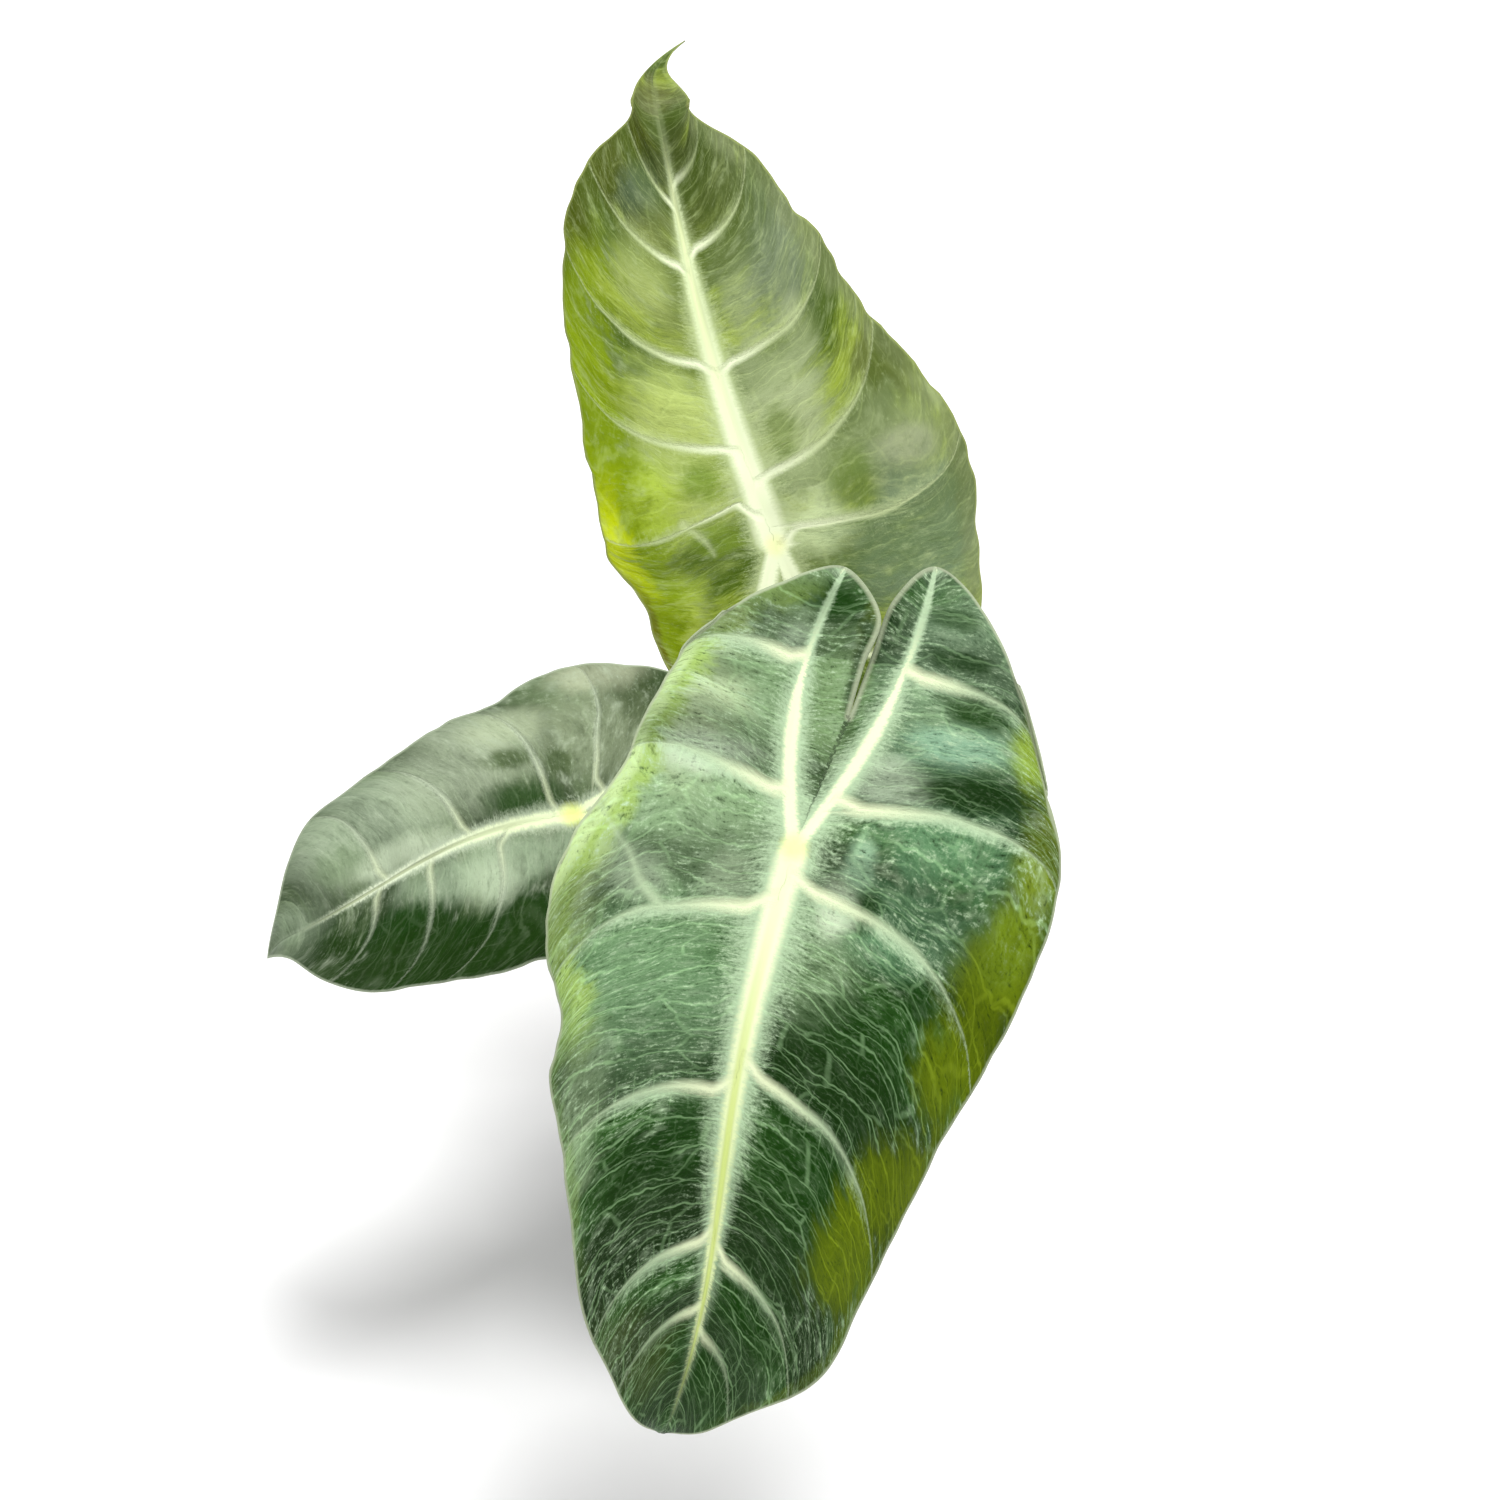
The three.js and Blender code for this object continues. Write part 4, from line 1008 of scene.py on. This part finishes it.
def pot_material():
    paint = Paint("moulded pot", 0.45)
    place = paint.place()
    grain = paint.noise(place, 900, 3)
    dust = paint.noise(place, 60, 4, 0.6)
    _, _, z = paint.split(place)
    low = paint.step(z + (dust - 0.5) * 0.02, 0.02, 0, 0.3)
    dusty = paint.step(dust, 0.45, 0.8, 0.35) + low
    paint.ground = paint.mix(dusty, (0.012, 0.012, 0.013), (0.07, 0.06, 0.05))
    paint.bump(grain, 0.15 * MM, 0.35)
    return paint.finish(dust * 0.25 + 0.38)


def soil_piece(material):
    """The potting mix: a filled round whose top is inset into rings, then heaped and roughened."""
    bottom = POT_FLOOR + SOIL_GAP
    foot = pot_radius(bottom) - POT_WALL - SOIL_GAP
    rim = pot_radius(SOIL_TOP) - POT_WALL - SOIL_GAP
    bpy.ops.mesh.primitive_cylinder_add(vertices=120, radius=foot * MM, depth=(SOIL_TOP - bottom) * MM,
                                        location=(0, 0, (SOIL_TOP + bottom) / 2 * MM))
    piece = added("potting_mix")
    top_face(piece)
    bpy.ops.transform.resize(value=(rim / foot, rim / foot, 1))
    for _ in range(SOIL_RINGS):
        bpy.ops.mesh.inset(thickness=rim / (SOIL_RINGS + 1) * MM)
    bpy.ops.mesh.poke()
    mode("OBJECT")
    places = coordinates(piece)
    for index, (x, y, z) in enumerate(places):
        if z > (SOIL_TOP - 0.01) * MM:
            radius = math.hypot(x, y) / MM
            fade = float(smooth_step(rim - radius, 0, 3))
            lumps = noise.fractal(Vector((x, y, 0)) * 140, 1.0, 2.1, 5)
            clods = noise.cell(Vector((x, y, 0)) * 260)
            places[index, 2] = z + fade * (1.5 * lumps + 0.6 * clods) * MM
    move_to(piece, places)
    piece.data.materials.append(material)
    shade_smooth(piece)
    return piece


def soil_material():
    paint = Paint("potting mix", 0.25)
    place = paint.place()
    crumb = paint.cells(place, 420, "F1")
    tint = paint.noise(place, 220, 4, 0.7)
    fibre = paint.noise(place, 700, 3, 0.6, 1.5)
    paint.ground = paint.mix(paint.step(tint, 0.35, 0.7), (0.018, 0.011, 0.007), (0.085, 0.048, 0.026))
    paint.coat(paint.step(fibre, 0.62, 0.75, 0.5), (0.17, 0.1, 0.055))
    paint.bump(crumb + fibre * 0.5, 1.2 * MM, 0.9)
    return paint.finish(0.9)


def scatter(name, count, size, flatness, material, seed):
    """Chips or grains over the soil, each with its own turn, size and place."""
    draw = random.Random(seed)
    rim = pot_radius(SOIL_TOP) - POT_WALL - 2
    pieces = []
    for index in range(count):
        radius = rim * math.sqrt(draw.uniform(0.12, 1))
        angle = draw.uniform(0, 2 * math.pi)
        scale = size * draw.uniform(0.5, 1.3)
        reach = min(radius, rim - scale)
        bpy.ops.mesh.primitive_ico_sphere_add(
            subdivisions=2, radius=1,
            location=(reach * math.cos(angle) * MM, reach * math.sin(angle) * MM,
                      (SOIL_TOP + draw.uniform(0.2, 1.2)) * MM),
            rotation=(draw.uniform(-0.5, 0.5), draw.uniform(-0.5, 0.5), draw.uniform(0, 6.3)),
            scale=(scale * draw.uniform(0.8, 1.6) * MM, scale * draw.uniform(0.5, 0.9) * MM,
                   scale * flatness * draw.uniform(0.8, 1.3) * MM))
        chip = bpy.context.object
        places = coordinates(chip)
        shift = Vector((index * 7.3, seed, 0))
        for number, place in enumerate(places):
            places[number] = place * (1 + 0.45 * noise.noise(Vector(place) * 1.3 + shift))
        move_to(chip, places)
        bpy.ops.object.transform_apply(location=True, rotation=True, scale=True)
        pieces.append(chip)
    piece = join(pieces, name)
    piece.data.materials.append(material)
    return piece


def chip_material():
    paint = Paint("bark chips", 0.3)
    place = paint.place()
    tint = paint.noise(place, 90, 2)
    grain = paint.noise(place, 900, 4, 0.7, 1.0)
    paint.ground = paint.mix(paint.step(tint, 0.35, 0.65), (0.05, 0.024, 0.012), (0.2, 0.105, 0.05))
    paint.coat(paint.step(grain, 0.5, 0.75, 0.5), (0.3, 0.19, 0.1))
    paint.bump(grain, 0.5 * MM, 0.8)
    return paint.finish(0.85)


def perlite_material():
    paint = Paint("perlite", 0.3)
    place = paint.place()
    pores = paint.cells(place, 1400, "F1")
    tint = paint.noise(place, 200, 3)
    paint.ground = paint.mix(tint, (0.78, 0.76, 0.7), (0.5, 0.46, 0.38))
    paint.bump(pores, 0.5 * MM, 0.8)
    return paint.finish(0.9)


def corm_piece(material):
    centre = np.array([0, 0, (CORM_TOP + CORM_BOTTOM) / 2 * MM])
    half_height = (CORM_TOP - CORM_BOTTOM) / 2
    bpy.ops.mesh.primitive_uv_sphere_add(segments=64, ring_count=40, radius=1, location=centre,
                                         scale=(CORM_RADIUS * MM, CORM_RADIUS * MM, half_height * MM))
    piece = added("corm_body")
    places = coordinates(piece)
    for index, place in enumerate(places):
        rings = 0.02 * math.sin(place[2] / MM * 2.6)
        lumps = 0.05 * noise.noise(Vector(place) * 260)
        places[index] = centre + (place - centre) * (1 + rings + lumps - 0.03)
    move_to(piece, places)
    piece.data.materials.append(material)
    shade_smooth(piece)
    return piece


def corm_material():
    paint = Paint("corm skin", 0.3)
    place = paint.place()
    skin = paint.noise(place, 260, 5, 0.65, 0.6)
    paint.ground = paint.mix(skin, (0.06, 0.028, 0.014), (0.26, 0.14, 0.07))
    paint.bump(skin, 0.6 * MM, 0.8)
    return paint.finish(0.85)


# Camera, floor and light

def stage():
    bpy.ops.mesh.primitive_plane_add(size=16, location=(0, 1.5, 0))
    floor = added("floor")
    paint = Paint("pale floor", 0.1)
    paint.ground = paint.mix(paint.noise(paint.place(), 40, 2), (0.89, 0.89, 0.89), (0.92, 0.92, 0.92))
    floor.data.materials.append(paint.finish(0.9))
    world = bpy.data.worlds.new("studio")
    world.use_nodes = True
    world.node_tree.nodes["Background"].inputs["Color"].default_value = (1, 1, 1, 1)
    world.node_tree.nodes["Background"].inputs["Strength"].default_value = 0.6
    bpy.context.scene.world = world
    bpy.context.scene.view_settings.view_transform = "Standard"


def light(kind, name, place, strength):
    """A light that looks at the middle of the plant."""
    bpy.ops.object.light_add(type=kind, location=place)
    lamp = bpy.context.object
    lamp.name = name
    lamp.data.energy = strength
    aim = Vector((0, 0, 0.2)) - Vector(place)
    lamp.rotation_euler = aim.to_track_quat("-Z", "Y").to_euler()
    return lamp.data


def lights():
    key = light("SUN", "key", (0.3, 0.25, 1.5), 3)
    key.angle = math.radians(24)
    fill = light("AREA", "fill", (-0.8, -0.9, 0.8), 3)
    fill.size = 0.8


def camera():
    bpy.ops.object.camera_add(location=CAMERA_PLACE, rotation=(math.pi / 2 - CAMERA_DOWN, 0, 0))
    view = bpy.context.object
    view.data.lens = LENS
    view.data.sensor_width = SENSOR
    bpy.context.scene.camera = view


def dress(piece, node):
    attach(piece, "root")
    if node:
        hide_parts(node)


def main():
    blades = {}
    stalk_material = petiole_material()
    for name, leaf in LEAVES.items():
        look = LOOKS[name]
        face = blade_face(f"{name} leaf face", look)
        back = blade_back(f"{name} leaf underside", look)
        blades[name] = blade(f"{name}_leaf", leaf, face, back)
        dress(blades[name], f"leaf_{name}_blade")
    for name, leaf in LEAVES.items():
        piece = stalk(f"{name}_stalk", leaf, blades[name], stalk_material)
        dress(piece, f"leaf_{name}_petiole")
    dress(pot_piece(pot_material()), "pot")
    dress(soil_piece(soil_material()), "soil")
    dress(corm_piece(corm_material()), "corm")
    dress(scatter("bark_chips", 150, 3.2, 0.45, chip_material(), 3), None)
    dress(scatter("perlite_grains", 90, 1.5, 0.9, perlite_material(), 8), None)
    stage()
    lights()
    camera()


main()
